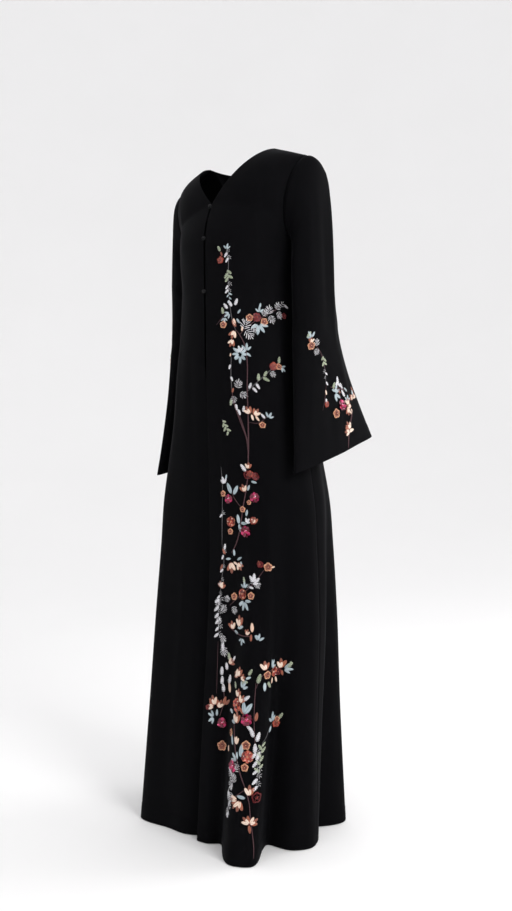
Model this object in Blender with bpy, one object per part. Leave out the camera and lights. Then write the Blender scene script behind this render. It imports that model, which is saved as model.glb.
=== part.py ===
"""Abaya cloak: a front-opening, full-length robe with bell sleeves, standing open on a general figure's form.

Metres, +Z up. The robe faces -Y and its wearer's left is +X. The origin lies midway between the two points
where the shoulder seams meet the neckline, which is where the wearer's shoulders hold the robe.

Every cloth piece is worked out the same way: a grid of points on its outer face, from seams and level
sections, then a second grid one wall inside it, joined along the cut edges.
"""

import math
from collections import namedtuple

import bmesh
import bpy
import numpy as np

# Cloth
WALL = 0.0015  # thickness of the crepe with its turned edges
SEAM_GAP = 0.0004  # distance between two pieces' cut edges at a seam
ARMHOLE_GAP = 0.0017  # the same round an armhole, where the walls meet at an angle

# Neck and shoulders
NECK_HALF_WIDTH = 0.095  # centre to where a shoulder seam starts
NECK_DROP = 0.1245  # height of the V below the shoulder seams' inner ends
NECK_REACH = 0.1006  # how far the V's foot stands in front of the shoulder seams
BACK_NECK_DROP = 0.014
BACK_NECK_REACH = 0.062
SHOULDER_END = (0.180, 0.006, -0.036)
V_SHARE = 6 / 9  # share of a front's yoke rows that lie beside the neckline

# Front opening
EDGE_GAP = 0.0044  # clear line between the two front edges where buttons hold them
EDGE_X = EDGE_GAP / 2
LAP_START = -0.455  # height where the right front starts to slide under the left
LAP_WIDTH = 0.026  # how far its edge lies under the left front at the hem
LAP_TUCK = 0.042  # how far it sinks behind the left front at the hem
LAP_SPREAD = 16.0  # degrees of the ring over which it sinks
LAP_CLEAR = 0.0045  # sinking that is reached straight away, so that the two walls pass each other

HEM = -1.454

# Level sections of the robe below the armholes: half the width, how far the centre front, the centre back
# and the side seam lie from the frame's X axis.
Section = namedtuple("Section", "height half_width front back side")
SECTIONS = (
    Section(-0.215, 0.143, 0.1235, 0.108, 0.006),
    Section(-0.300, 0.137, 0.1225, 0.106, 0.009),
    Section(-0.400, 0.139, 0.1210, 0.108, 0.009),
    Section(-0.490, 0.149, 0.1200, 0.118, 0.008),
    Section(-0.580, 0.160, 0.1160, 0.134, 0.008),
    Section(-0.680, 0.181, 0.1120, 0.148, 0.006),
    Section(-0.760, 0.196, 0.1100, 0.156, 0.004),
    Section(-0.860, 0.202, 0.1080, 0.160, 0.003),
    Section(-1.000, 0.205, 0.1130, 0.164, 0.002),
    Section(-1.210, 0.197, 0.1280, 0.172, 0.002),
    Section(-1.454, 0.190, 0.1440, 0.182, 0.002),
)
ARM_LEVEL = SECTIONS[0].height
SQUARENESS = 0.045  # how much a section swells halfway between its front and its side

# Folds that hang to the hem. A bearing is in degrees round the robe: 0 is the centre front, 90 the wearer's
# left side, 180 the centre back. `reach` is how far the fold stands out at the hem, or in if negative, and
# `spread` how far it runs to either side. It grows from the height `start`, where it lies `drift` degrees
# further round. `crispness` is 2 for a round fold and 4 for one with steep flanks.
Fold = namedtuple("Fold", "bearing spread reach start drift crispness")
FOLDS = (
    Fold(17, 6.0, -0.016, -0.95, 4, 2),
    Fold(32.5, 11.0, 0.066, -0.72, 4, 4),
    Fold(55, 8.0, -0.040, -0.66, 2, 2),
    Fold(82, 11.0, 0.014, -0.58, -2, 2),
    Fold(111, 9.0, -0.050, -0.62, 4, 2),
    Fold(131, 11.0, 0.030, -0.66, 2, 2),
    Fold(154, 8.5, -0.036, -0.80, -3, 2),
    Fold(176, 10.0, 0.036, -0.60, 2, 2),
    Fold(-160, 8.0, -0.032, -0.86, -4, 2),
    Fold(-138, 11.0, 0.036, -0.70, 4, 2),
    Fold(-114, 9.0, -0.036, -0.64, -2, 2),
    Fold(-92, 10.0, 0.016, -0.60, 3, 2),
    Fold(-70, 9.0, -0.024, -0.78, -2, 2),
    Fold(-45, 13.0, 0.047, -0.30, 2, 2),
)

# Sleeve rings: the outermost point (over the arm), the innermost (under it), the middle between front and
# back, how far front and back stand from it, how much lower the front lies than the middle, how far front
# and back are scooped towards the body, and how far the front turns in towards it. `run` counts along the
# sleeve from armhole to cuff.
Ring = namedtuple("Ring", "run outer_x outer_z inner_x inner_z middle front back slant scoop toe")
RINGS = (
    Ring(0.00, 0.1800, -0.036, 0.1430, -0.2150, 0.006, 0.048, 0.058, 0.000, 0.008, 0.000),
    Ring(0.05, 0.1910, -0.040, 0.1435, -0.2165, 0.007, 0.050, 0.060, 0.000, 0.006, 0.000),
    Ring(0.10, 0.2005, -0.051, 0.1440, -0.2190, 0.009, 0.050, 0.061, 0.000, 0.003, 0.000),
    Ring(0.16, 0.2065, -0.074, 0.1440, -0.2240, 0.011, 0.049, 0.061, 0.000, 0.001, 0.000),
    Ring(0.23, 0.2100, -0.112, 0.1435, -0.2330, 0.013, 0.049, 0.060, 0.000, 0.000, 0.000),
    Ring(0.32, 0.2125, -0.170, 0.1425, -0.2560, 0.016, 0.050, 0.060, 0.001, 0.000, 0.000),
    Ring(0.42, 0.2135, -0.245, 0.1410, -0.2980, 0.019, 0.053, 0.060, 0.002, 0.000, 0.000),
    Ring(0.53, 0.2140, -0.325, 0.1420, -0.3550, 0.022, 0.056, 0.062, 0.004, 0.000, 0.000),
    Ring(0.64, 0.2145, -0.410, 0.1460, -0.4250, 0.027, 0.066, 0.070, 0.008, 0.000, 0.000),
    Ring(0.76, 0.2170, -0.500, 0.1550, -0.5080, 0.037, 0.084, 0.090, 0.016, 0.000, 0.002),
    Ring(0.88, 0.2210, -0.583, 0.1690, -0.5890, 0.049, 0.107, 0.112, 0.029, 0.000, 0.004),
    Ring(1.00, 0.2260, -0.661, 0.1860, -0.6640, 0.060, 0.129, 0.128, 0.043, 0.000, 0.007),
)

# Fastenings: the height of each ball button and its cord loop on the centre front
FASTENINGS = {"top": -0.1330, "chest": -0.2060, "waist": -0.3190}
BUTTON_RADIUS = 0.0032
LOOP_CORD_RADIUS = 0.0007
LOOP_RADIUS = 0.0037  # of the cord's bend round the button, to the cord's middle
LOOP_LEG = 0.0070  # from the button's middle to the loop's feet on the right front
LOOP_BEND_POINTS = 9
PLACING_GAP = 0.0004  # clear distance of buttons and loops from the cloth

# Grid sizes: columns across a front, half the back and round a sleeve; rows of the yoke and the skirt
FRONT_COLUMNS = 22
HALF_BACK_COLUMNS = 18
YOKE_ROWS = 9
SKIRT_HEIGHTS = (
    *(-0.250, -0.300, -0.360, -0.430, -0.500, -0.590, -0.680),
    *(-0.780, -0.900, -1.030, -1.170, -1.310, HEM),
)

CREPE = ("crepe", (0.0045, 0.0045, 0.0055), 0.78)
CORD = ("rouleau_cord", (0.006, 0.006, 0.007), 0.7)
COVERED_BUTTON = ("covered_button", (0.006, 0.006, 0.007), 0.6)


def through(rows, column, at):
    """A table's column at each value of `at`, on a smooth curve through its rows, by the first column."""
    keys = np.array([row[0] for row in rows], float)
    values = np.array([getattr(row, column) for row in rows], float)
    if keys[0] > keys[-1]:
        keys, values = keys[::-1], values[::-1]
    slopes = np.gradient(values, keys)
    at = np.clip(np.asarray(at, float), keys[0], keys[-1])
    low = np.clip(np.searchsorted(keys, at, side="right") - 1, 0, len(keys) - 2)
    width = keys[low + 1] - keys[low]
    t = (at - keys[low]) / width
    rise = 3 * t**2 - 2 * t**3
    leave = t**3 - 2 * t**2 + t
    arrive = t**3 - t**2
    flat = values[low] * (1 - rise) + values[low + 1] * rise
    return flat + width * (slopes[low] * leave + slopes[low + 1] * arrive)


def eased(value, start, end):
    """0 before start, 1 after end, with a soft change between them."""
    t = np.clip((value - start) / (end - start), 0, 1)
    return t * t * (3 - 2 * t)


def degrees_apart(a, b):
    """How far bearing a lies past bearing b, between -180 and 180."""
    return (a - b + 180) % 360 - 180


def section_point(bearing, height):
    """Where the robe's outer face is at a bearing and a height below the armholes, folds included."""
    bearing, height = np.broadcast_arrays(np.asarray(bearing, float), np.asarray(height, float))
    turn = np.radians(bearing)
    side = through(SECTIONS, "side", height)
    reach = np.where(
        np.cos(turn) > 0,
        through(SECTIONS, "front", height) + side,
        through(SECTIONS, "back", height) - side,
    )
    swell = 1 + SQUARENESS * np.sin(2 * turn) ** 2
    x = through(SECTIONS, "half_width", height) * np.sin(turn) * swell
    y = side - reach * np.cos(turn) * swell
    out = fold_reach(bearing, height)
    length = np.hypot(x, y - side)
    return np.stack([x + out * x / length, y + out * (y - side) / length, height], axis=-1)


def fold_reach(bearing, height):
    """How far the folds push the cloth out at each bearing and height."""
    out = np.zeros(np.broadcast(bearing, height).shape)
    for fold in FOLDS:
        grown = np.clip((fold.start - height) / (fold.start - HEM), 0, 1)
        away = degrees_apart(bearing, fold.bearing + fold.drift * (1 - grown)) / fold.spread
        out = out + fold.reach * grown**1.25 * np.exp(-(np.abs(away) ** fold.crispness))
    return out


def armhole(turn):
    """A point of the left armhole: turn 0 at the shoulder, 90 in front, 180 under the arm, 270 behind."""
    return ring_point(RINGS[0], turn)


def ring_point(ring, turn):
    """A point of a sleeve ring, by the same turn."""
    turn = np.radians(np.asarray(turn, float))
    up, forward = np.cos(turn), np.sin(turn)
    x = (ring.outer_x + ring.inner_x) / 2 + (ring.outer_x - ring.inner_x) / 2 * up - ring.scoop * forward**2
    x = x - ring.toe * forward
    y = ring.middle - np.where(forward > 0, ring.front, ring.back) * forward
    z = (ring.outer_z + ring.inner_z) / 2 + (ring.outer_z - ring.inner_z) / 2 * up - ring.slant * forward
    return np.stack([x, y, z], axis=-1)


def front_neckline(share):
    """The V neckline and then the front edge, from the shoulder seam down to the armholes' level."""
    share = np.asarray(share, float)
    t = np.clip(share / V_SHARE, 0, 1)
    below = np.clip((share - V_SHARE) / (1 - V_SHARE), 0, 1)
    x = EDGE_X + (NECK_HALF_WIDTH - EDGE_X) * (1 - t**1.6)
    y = -NECK_REACH * np.sin(np.radians(90) * t**0.95)
    z = -NECK_DROP * t**1.42
    y = y - (SECTIONS[0].front - NECK_REACH) * np.sin(np.radians(90) * below)
    z = z + (ARM_LEVEL + NECK_DROP) * below
    return np.stack([x, y, z], axis=-1)


def back_top_edge(across):
    """The back neckline from the centre back, then the shoulder seam, for across 0 to 1."""
    across = np.asarray(across, float)
    t = np.clip(across * 2, 0, 1)
    neck = np.stack(
        [
            NECK_HALF_WIDTH * np.sin(np.radians(90) * t),
            BACK_NECK_REACH * np.cos(np.radians(90) * t),
            -BACK_NECK_DROP * np.cos(np.radians(90) * t) ** 2,
        ],
        axis=-1,
    )
    return np.where((across <= 0.5)[..., None], neck, shoulder_seam(across * 2 - 1))


def shoulder_seam(share):
    """The left shoulder seam, from the neck to the armhole."""
    share = np.asarray(share, float)[..., None]
    return np.array([NECK_HALF_WIDTH, 0, 0]) * (1 - share) + np.array(SHOULDER_END) * share


def back_centre(share):
    """The centre back from the neckline down to the armholes' level."""
    share = np.asarray(share, float)
    start = np.array([0, BACK_NECK_REACH, -BACK_NECK_DROP])
    end = np.array([0, SECTIONS[0].back, ARM_LEVEL])
    y = start[1] + (end[1] - start[1]) * np.sin(np.radians(90) * share)
    z = start[2] + (end[2] - start[2]) * (1 - np.cos(np.radians(90) * share)) ** 0.8
    return np.stack([0 * share, y, z], axis=-1)


def patch(top, bottom, near, far):
    """Points between four seams: top and bottom run across, near and far run down and share their corners."""
    across = np.linspace(0, 1, len(top))[None, :, None]
    down = np.linspace(0, 1, len(near))[:, None, None]
    ruled_down = top[None] * (1 - down) + bottom[None] * down
    ruled_across = near[:, None] * (1 - across) + far[:, None] * across
    corners = (top[0] * (1 - across) + top[-1] * across) * (1 - down) + (
        bottom[0] * (1 - across) + bottom[-1] * across
    ) * down
    return ruled_down + ruled_across - corners


def front_points(side):
    """The grid of a front panel, side 1 for the left and -1 for the right: rows down, columns outwards."""
    share = np.linspace(0, 1, FRONT_COLUMNS + 1)
    down = np.linspace(0, 1, YOKE_ROWS + 1)
    bottom = skirt_row(side, share, ARM_LEVEL)
    yoke = patch(shoulder_seam(share), bottom, front_neckline(down), armhole(180 * down))
    skirt = [skirt_row(side, share, height) for height in SKIRT_HEIGHTS]
    points = np.concatenate([yoke, np.array(skirt)])
    return points * [side, 1, 1]


def skirt_row(side, share, height):
    """One level row of a front, from its front edge to the side seam, seen as the wearer's left."""
    lap = eased(-height, -LAP_START, -HEM) if side < 0 else 0
    sink = LAP_CLEAR * eased(-height, -LAP_START, -LAP_START + 0.07) if side < 0 else 0
    edge_x = EDGE_X - (EDGE_X + LAP_WIDTH) * lap
    front = through(SECTIONS, "front", height)
    edge = np.degrees(np.arctan2(edge_x, front))
    bearing = edge + (90 - edge) * share
    row = section_point(side * bearing, height) * [side, 1, 1]
    tuck = (sink + LAP_TUCK * lap) * np.exp(-(((bearing - edge) / LAP_SPREAD) ** 2))
    row[:, 1] += tuck
    row[0, 0] = edge_x
    return row


def back_points():
    """The grid of the back panel: rows down, columns from the right side seam to the left."""
    share = np.linspace(0, 1, HALF_BACK_COLUMNS + 1)
    down = np.linspace(0, 1, YOKE_ROWS + 1)
    halves = []
    for side in (-1, 1):
        bottom = section_point(side * (180 - 90 * share), ARM_LEVEL) * [side, 1, 1]
        yoke = patch(back_top_edge(share), bottom, back_centre(down), armhole(-180 * down))
        skirt = [section_point(side * (180 - 90 * share), height) * [side, 1, 1] for height in SKIRT_HEIGHTS]
        halves.append(np.concatenate([yoke, np.array(skirt)]) * [side, 1, 1])
    right, left = halves
    return np.concatenate([right[:, :0:-1], left], axis=1)


def sleeve_points(side):
    """The grid of a sleeve: rows from armhole to cuff, columns round it. Column 0 is on the shoulder."""
    turns = np.linspace(0, 360, 2 * YOKE_ROWS, endpoint=False)
    return np.array([ring_point(ring, turns) for ring in RINGS]) * [side, 1, 1]


def normals_of(points, around=False):
    """Outward unit normals of a grid, whichever way its rows and columns run."""
    if around:
        across = np.roll(points, -1, axis=1) - np.roll(points, 1, axis=1)
    else:
        across = np.gradient(points, axis=1)
    down = np.gradient(points, axis=0)
    normals = np.cross(across, down)
    return normals / np.linalg.norm(normals, axis=-1, keepdims=True)


def wall_mesh(points, normals, around=False):
    """A closed wall from a grid of outer points: the same grid one wall inside, and the cut edges between."""
    rows, columns = points.shape[:2]
    mesh = bmesh.new()
    outer = [[mesh.verts.new(p) for p in row] for row in points]
    inner = [[mesh.verts.new(p) for p in row] for row in points - WALL * normals]
    spans = columns if around else columns - 1
    for r in range(rows - 1):
        for c in range(spans):
            n = (c + 1) % columns
            mesh.faces.new([outer[r][c], outer[r][n], outer[r + 1][n], outer[r + 1][c]])
            mesh.faces.new([inner[r][c], inner[r + 1][c], inner[r + 1][n], inner[r][n]])
    for r in (0, rows - 1):
        for c in range(spans):
            n = (c + 1) % columns
            mesh.faces.new([outer[r][c], inner[r][c], inner[r][n], outer[r][n]])
    if not around:
        for c in (0, columns - 1):
            for r in range(rows - 1):
                mesh.faces.new([outer[r][c], outer[r + 1][c], inner[r + 1][c], inner[r][c]])
    bmesh.ops.recalc_face_normals(mesh, faces=mesh.faces)
    return mesh


def material(look):
    """A plain Principled material from a (name, colour, roughness) look."""
    name, colour, roughness = look
    made = bpy.data.materials.get(name) or bpy.data.materials.new(name)
    made.use_nodes = True
    shader = made.node_tree.nodes["Principled BSDF"]
    shader.inputs["Base Color"].default_value = (*colour, 1)
    shader.inputs["Roughness"].default_value = roughness
    shader.inputs["Metallic"].default_value = 0
    return made


def add_object(name, mesh, look):
    """Puts a bmesh into the scene as a named object, shaded smooth except at its cut edges."""
    data = bpy.data.meshes.new(name)
    mesh.to_mesh(data)
    mesh.free()
    data.materials.append(material(look))
    data.shade_smooth()
    data.set_sharp_from_angle(angle=math.radians(50))
    made = bpy.data.objects.new(name, data)
    bpy.context.scene.collection.objects.link(made)
    return made


def drawn_in(points, normals, seams, gap=SEAM_GAP, around=False):
    """The grid with the named border rows or columns moved in by half the gap, along the cloth."""
    moved = points.copy()
    for seam in seams:
        if seam in ("top", "bottom"):
            row = 0 if seam == "top" else -1
            along = np.gradient(points[row], axis=0)
            if around:
                along = np.roll(points[row], -1, axis=0) - np.roll(points[row], 1, axis=0)
            inward = np.cross(along, normals[row])
            towards = points[1] - points[0] if seam == "top" else points[-2] - points[-1]
        else:
            column = 0 if seam == "near" else -1
            along = np.gradient(points[:, column], axis=0)
            inward = np.cross(along, normals[:, column])
            towards = points[:, 1] - points[:, 0] if seam == "near" else points[:, -2] - points[:, -1]
        inward /= np.linalg.norm(inward, axis=-1, keepdims=True)
        sign = np.sign(np.sum(inward * towards, axis=-1, keepdims=True))
        shift = gap / 2 * inward * np.where(sign == 0, 1, sign)
        if seam in ("top", "bottom"):
            moved[row] += shift
        else:
            moved[:, column] += shift
    return moved


def build_cloth():
    """The two fronts, the back and the two sleeves."""
    left, right, back = front_points(1), front_points(-1), back_points()
    normals = {"left": -normals_of(left), "right": normals_of(right), "back": normals_of(back)}
    share_side_seam(normals["left"], -1, normals["back"], -1)
    share_side_seam(normals["right"], -1, normals["back"], 0)
    level_shoulders(normals)
    cloth = {
        "front_left": (drawn_in(left, normals["left"], ("top", "far")), normals["left"]),
        "front_right": (drawn_in(right, normals["right"], ("top", "far")), normals["right"]),
        "back": (drawn_in(back, normals["back"], ("top", "near", "far")), normals["back"]),
    }
    for name, (points, outward) in cloth.items():
        add_object(name, wall_mesh(points, outward), CREPE)
    for name, side in (("sleeve_left", 1), ("sleeve_right", -1)):
        points = sleeve_points(side)
        outward = side * normals_of(points, around=True)
        points = drawn_in(points, outward, ("top",), ARMHOLE_GAP, around=True)
        add_object(name, wall_mesh(points, outward, around=True), CREPE)


def share_side_seam(front, front_column, back, back_column):
    """Gives a front and the back the same normals along their side seam, so that their edges are parallel."""
    rows = slice(YOKE_ROWS, None)
    shared = front[rows, front_column] + back[rows, back_column]
    shared /= np.linalg.norm(shared, axis=-1, keepdims=True)
    front[rows, front_column] = shared
    back[rows, back_column] = shared


def level_shoulders(normals):
    """Gives fronts and back the same upward normal along each shoulder seam."""
    run = SHOULDER_END[0] - NECK_HALF_WIDTH
    fall = -SHOULDER_END[2]
    up = np.array([fall, 0, run]) / math.hypot(run, fall)
    half = HALF_BACK_COLUMNS // 2
    normals["left"][0] = up
    normals["right"][0] = up * [-1, 1, 1]
    normals["back"][0, -half - 1 :] = up
    normals["back"][0, : half + 1] = up * [-1, 1, 1]


def front_edge(height):
    """How far forward the centre front is at a height, and how far it slopes there, in radians."""
    run = ARM_LEVEL + NECK_DROP
    rise = SECTIONS[0].front - NECK_REACH
    if height > ARM_LEVEL:
        turn = math.radians(90) * (height + NECK_DROP) / run
        slope = rise * math.cos(turn) * math.radians(90) / run
        return -NECK_REACH - rise * math.sin(turn), math.atan(-slope)
    return -float(through(SECTIONS, "front", height)), 0.0


def build_fastening(name, height):
    """A covered ball button over the gap between the front edges, and the cord loop that goes round it."""
    edge_y, slope = front_edge(height)
    ball = bmesh.new()
    bmesh.ops.create_uvsphere(ball, u_segments=12, v_segments=8, radius=BUTTON_RADIUS)
    bmesh.ops.translate(ball, verts=ball.verts, vec=(0, -BUTTON_RADIUS - PLACING_GAP, 0))
    button = add_object(f"button_{name}", ball, COVERED_BUTTON)

    route = [(-LOOP_LEG, LOOP_RADIUS)]
    for turn in np.linspace(math.radians(90), math.radians(-90), LOOP_BEND_POINTS):
        route.append((LOOP_RADIUS * math.cos(turn), LOOP_RADIUS * math.sin(turn)))
    route.append((-LOOP_LEG, -LOOP_RADIUS))
    curve = bpy.data.curves.new(f"loop_{name}", "CURVE")
    curve.dimensions = "3D"
    curve.bevel_depth = LOOP_CORD_RADIUS
    curve.bevel_resolution = 1
    curve.use_fill_caps = True
    spline = curve.splines.new("POLY")
    spline.points.add(len(route) - 1)
    for point, (x, z) in zip(spline.points, route):
        point.co = (x, -LOOP_CORD_RADIUS - PLACING_GAP, z, 1)
    spline.use_smooth = True
    curve.materials.append(material(CORD))
    loop = bpy.data.objects.new(f"loop_{name}", curve)
    bpy.context.scene.collection.objects.link(loop)
    for made in (button, loop):
        made.location = (0, edge_y, height)
        made.rotation_euler = (-slope, 0, 0)


def main():
    for old in list(bpy.data.objects):
        bpy.data.objects.remove(old, do_unlink=True)
    build_cloth()
    for name, height in FASTENINGS.items():
        build_fastening(name, height)


main()
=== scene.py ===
"""Abaya cloak: the robe's cloth, its fastenings and its beaded flower sprays, dressed for rendering.

Metres, +Z up. The robe faces -Y and its wearer's left is +X. The cloth shells hang on the same seams and
level sections as the solids. Every spray is laid on its panel's own surface, so it follows the folds.
"""

import logging
import math
from dataclasses import dataclass, field
from enum import Enum
from typing import Any, Sequence

import bpy
import numpy as np
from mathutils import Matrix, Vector


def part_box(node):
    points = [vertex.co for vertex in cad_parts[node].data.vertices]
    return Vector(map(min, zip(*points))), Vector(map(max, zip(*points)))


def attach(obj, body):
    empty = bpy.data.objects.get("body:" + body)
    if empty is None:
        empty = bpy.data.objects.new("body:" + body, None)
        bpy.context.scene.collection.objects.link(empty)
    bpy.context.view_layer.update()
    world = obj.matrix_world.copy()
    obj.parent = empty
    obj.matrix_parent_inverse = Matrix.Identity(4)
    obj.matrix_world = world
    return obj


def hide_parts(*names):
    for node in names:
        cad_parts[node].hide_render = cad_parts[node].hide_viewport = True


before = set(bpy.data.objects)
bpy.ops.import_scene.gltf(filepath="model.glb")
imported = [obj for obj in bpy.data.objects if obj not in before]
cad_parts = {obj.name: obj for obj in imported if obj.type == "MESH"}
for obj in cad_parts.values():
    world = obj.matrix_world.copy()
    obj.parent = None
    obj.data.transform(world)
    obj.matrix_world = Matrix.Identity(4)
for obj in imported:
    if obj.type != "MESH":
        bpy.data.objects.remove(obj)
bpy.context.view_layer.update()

Array = np.ndarray
Point = tuple[float, float, float]
Spot = tuple[float, float]

BODY = "root"
HEM = -1.454
log = logging.getLogger("abaya")


# --------------------------------------
# The cut: seams, level sections, folds and sleeve rings
# --------------------------------------


@dataclass(frozen=True)
class Section:
    """A level section of the robe: half its width, and how far front, back and side seam lie from X."""

    height: float
    half_width: float
    front: float
    back: float
    side: float


@dataclass(frozen=True)
class Fold:
    """A fold that hangs to the hem. Bearings are degrees round the robe, 0 in front, 90 on the left."""

    bearing: float
    spread: float
    reach: float
    start: float
    drift: float
    crispness: float


@dataclass(frozen=True)
class Ring:
    """A ring of the sleeve: its outermost and innermost points, its depth to front and back, its slant."""

    run: float
    outer_x: float
    outer_z: float
    inner_x: float
    inner_z: float
    middle: float
    front: float
    back: float
    slant: float
    scoop: float
    toe: float


@dataclass(frozen=True)
class Crease:
    """A soft ridge, or a trough where depth is negative, between two points close to the cloth."""

    start: Point
    end: Point
    width: float
    depth: float


SECTIONS = (
    Section(-0.215, 0.143, 0.1235, 0.108, 0.006),
    Section(-0.300, 0.137, 0.1225, 0.106, 0.009),
    Section(-0.400, 0.139, 0.1210, 0.108, 0.009),
    Section(-0.490, 0.149, 0.1200, 0.118, 0.008),
    Section(-0.580, 0.160, 0.1160, 0.134, 0.008),
    Section(-0.680, 0.181, 0.1120, 0.148, 0.006),
    Section(-0.760, 0.196, 0.1100, 0.156, 0.004),
    Section(-0.860, 0.202, 0.1080, 0.160, 0.003),
    Section(-1.000, 0.205, 0.1130, 0.164, 0.002),
    Section(-1.210, 0.197, 0.1280, 0.172, 0.002),
    Section(-1.454, 0.190, 0.1440, 0.182, 0.002),
)
FOLDS = (
    Fold(17, 6.0, -0.016, -0.95, 4, 2),
    Fold(32.5, 11.0, 0.066, -0.72, 4, 4),
    Fold(55, 8.0, -0.040, -0.66, 2, 2),
    Fold(82, 11.0, 0.014, -0.58, -2, 2),
    Fold(111, 9.0, -0.050, -0.62, 4, 2),
    Fold(131, 11.0, 0.030, -0.66, 2, 2),
    Fold(154, 8.5, -0.036, -0.80, -3, 2),
    Fold(176, 10.0, 0.036, -0.60, 2, 2),
    Fold(-160, 8.0, -0.032, -0.86, -4, 2),
    Fold(-138, 11.0, 0.036, -0.70, 4, 2),
    Fold(-114, 9.0, -0.036, -0.64, -2, 2),
    Fold(-92, 10.0, 0.016, -0.60, 3, 2),
    Fold(-70, 9.0, -0.024, -0.78, -2, 2),
    Fold(-45, 13.0, 0.047, -0.30, 2, 2),
)
RINGS = (
    Ring(0.00, 0.1800, -0.036, 0.1430, -0.2150, 0.006, 0.048, 0.058, 0.000, 0.008, 0.000),
    Ring(0.05, 0.1910, -0.040, 0.1435, -0.2165, 0.007, 0.050, 0.060, 0.000, 0.006, 0.000),
    Ring(0.10, 0.2005, -0.051, 0.1440, -0.2190, 0.009, 0.050, 0.061, 0.000, 0.003, 0.000),
    Ring(0.16, 0.2065, -0.074, 0.1440, -0.2240, 0.011, 0.049, 0.061, 0.000, 0.001, 0.000),
    Ring(0.23, 0.2100, -0.112, 0.1435, -0.2330, 0.013, 0.049, 0.060, 0.000, 0.000, 0.000),
    Ring(0.32, 0.2125, -0.170, 0.1425, -0.2560, 0.016, 0.050, 0.060, 0.001, 0.000, 0.000),
    Ring(0.42, 0.2135, -0.245, 0.1410, -0.2980, 0.019, 0.053, 0.060, 0.002, 0.000, 0.000),
    Ring(0.53, 0.2140, -0.325, 0.1420, -0.3550, 0.022, 0.056, 0.062, 0.004, 0.000, 0.000),
    Ring(0.64, 0.2145, -0.410, 0.1460, -0.4250, 0.027, 0.066, 0.070, 0.008, 0.000, 0.000),
    Ring(0.76, 0.2170, -0.500, 0.1550, -0.5080, 0.037, 0.084, 0.090, 0.016, 0.000, 0.002),
    Ring(0.88, 0.2210, -0.583, 0.1690, -0.5890, 0.049, 0.107, 0.112, 0.029, 0.000, 0.004),
    Ring(1.00, 0.2260, -0.661, 0.1860, -0.6640, 0.060, 0.129, 0.128, 0.043, 0.000, 0.007),
)
RING_COLUMNS = (
    "outer_x", "outer_z", "inner_x", "inner_z", "middle", "front", "back", "slant", "scoop", "toe",
)
ARM_LEVEL = SECTIONS[0].height

def creases(*rows: tuple[Point, Point, float, float]) -> tuple[Crease, ...]:
    """Creases, each from its two ends, its width and its depth in millimetres."""
    return tuple(
        Crease(tuple(a / 1000 for a in start), tuple(b / 1000 for b in end), width / 1000, depth / 1000)
        for start, end, width, depth in rows
    )


# Creases of the robe: how it pulls across chest and shoulder blades, at the underarms, over the hips and down
# the skirt between its large folds. The two sides are alike but not the same.
ROBE_CREASES = creases(
    ((128, -60, -200), (60, -110, -330), 16, 2.2),
    ((140, -40, -225), (108, -85, -380), 10, -2.2),
    ((150, -30, -60), (95, -105, -190), 18, 1.8),
    ((118, -75, -120), (124, -72, -260), 9, -1.8),
    ((135, -45, -300), (150, -40, -640), 14, 2.6),
    ((85, -95, -420), (100, -100, -700), 16, -1.6),
    ((30, -120, -560), (36, -118, -820), 10, -1.4),
    ((-128, -60, -195), (-70, -108, -300), 14, 2),
    ((-140, -42, -230), (-112, -80, -410), 10, -2.4),
    ((-145, -34, -70), (-85, -105, -200), 20, 2),
    ((-118, -75, -115), (-122, -74, -270), 9, -1.6),
    ((-100, -90, -330), (-118, -90, -680), 16, 2.4),
    ((-50, -118, -460), (-62, -118, -880), 13, -2.2),
    ((-160, -20, -420), (-186, -30, -900), 14, 2.4),
    ((-80, -110, -900), (-90, -130, -1380), 12, 2.6),
    ((-130, -90, -820), (-150, -100, -1300), 10, -2.4),
    ((185, 10, -560), (204, 0, -980), 12, -2.6),
    ((190, 30, -900), (186, 20, -1400), 10, 2.4),
    ((120, 70, -190), (50, 108, -300), 16, 2.4),
    ((-118, 72, -200), (-40, 108, -340), 14, 2.2),
    ((105, 80, -260), (85, 108, -560), 12, -2.6),
    ((-100, 82, -280), (-82, 110, -600), 13, -2.4),
    ((0, 90, -110), (8, 112, -420), 22, -2),
    ((30, 118, -480), (26, 158, -900), 14, 2.6),
    ((-50, 118, -500), (-56, 158, -960), 12, 2.2),
    ((90, 128, -640), (100, 150, -1120), 12, -2.6),
    ((-110, 120, -620), (-128, 140, -1080), 11, -2.4),
    ((40, 160, -1000), (50, 186, -1420), 10, -2.4),
    ((-20, 168, -1040), (-30, 190, -1440), 10, 2.2),
    ((-175, 60, -860), (-172, 70, -1380), 11, 2.6),
)

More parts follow.
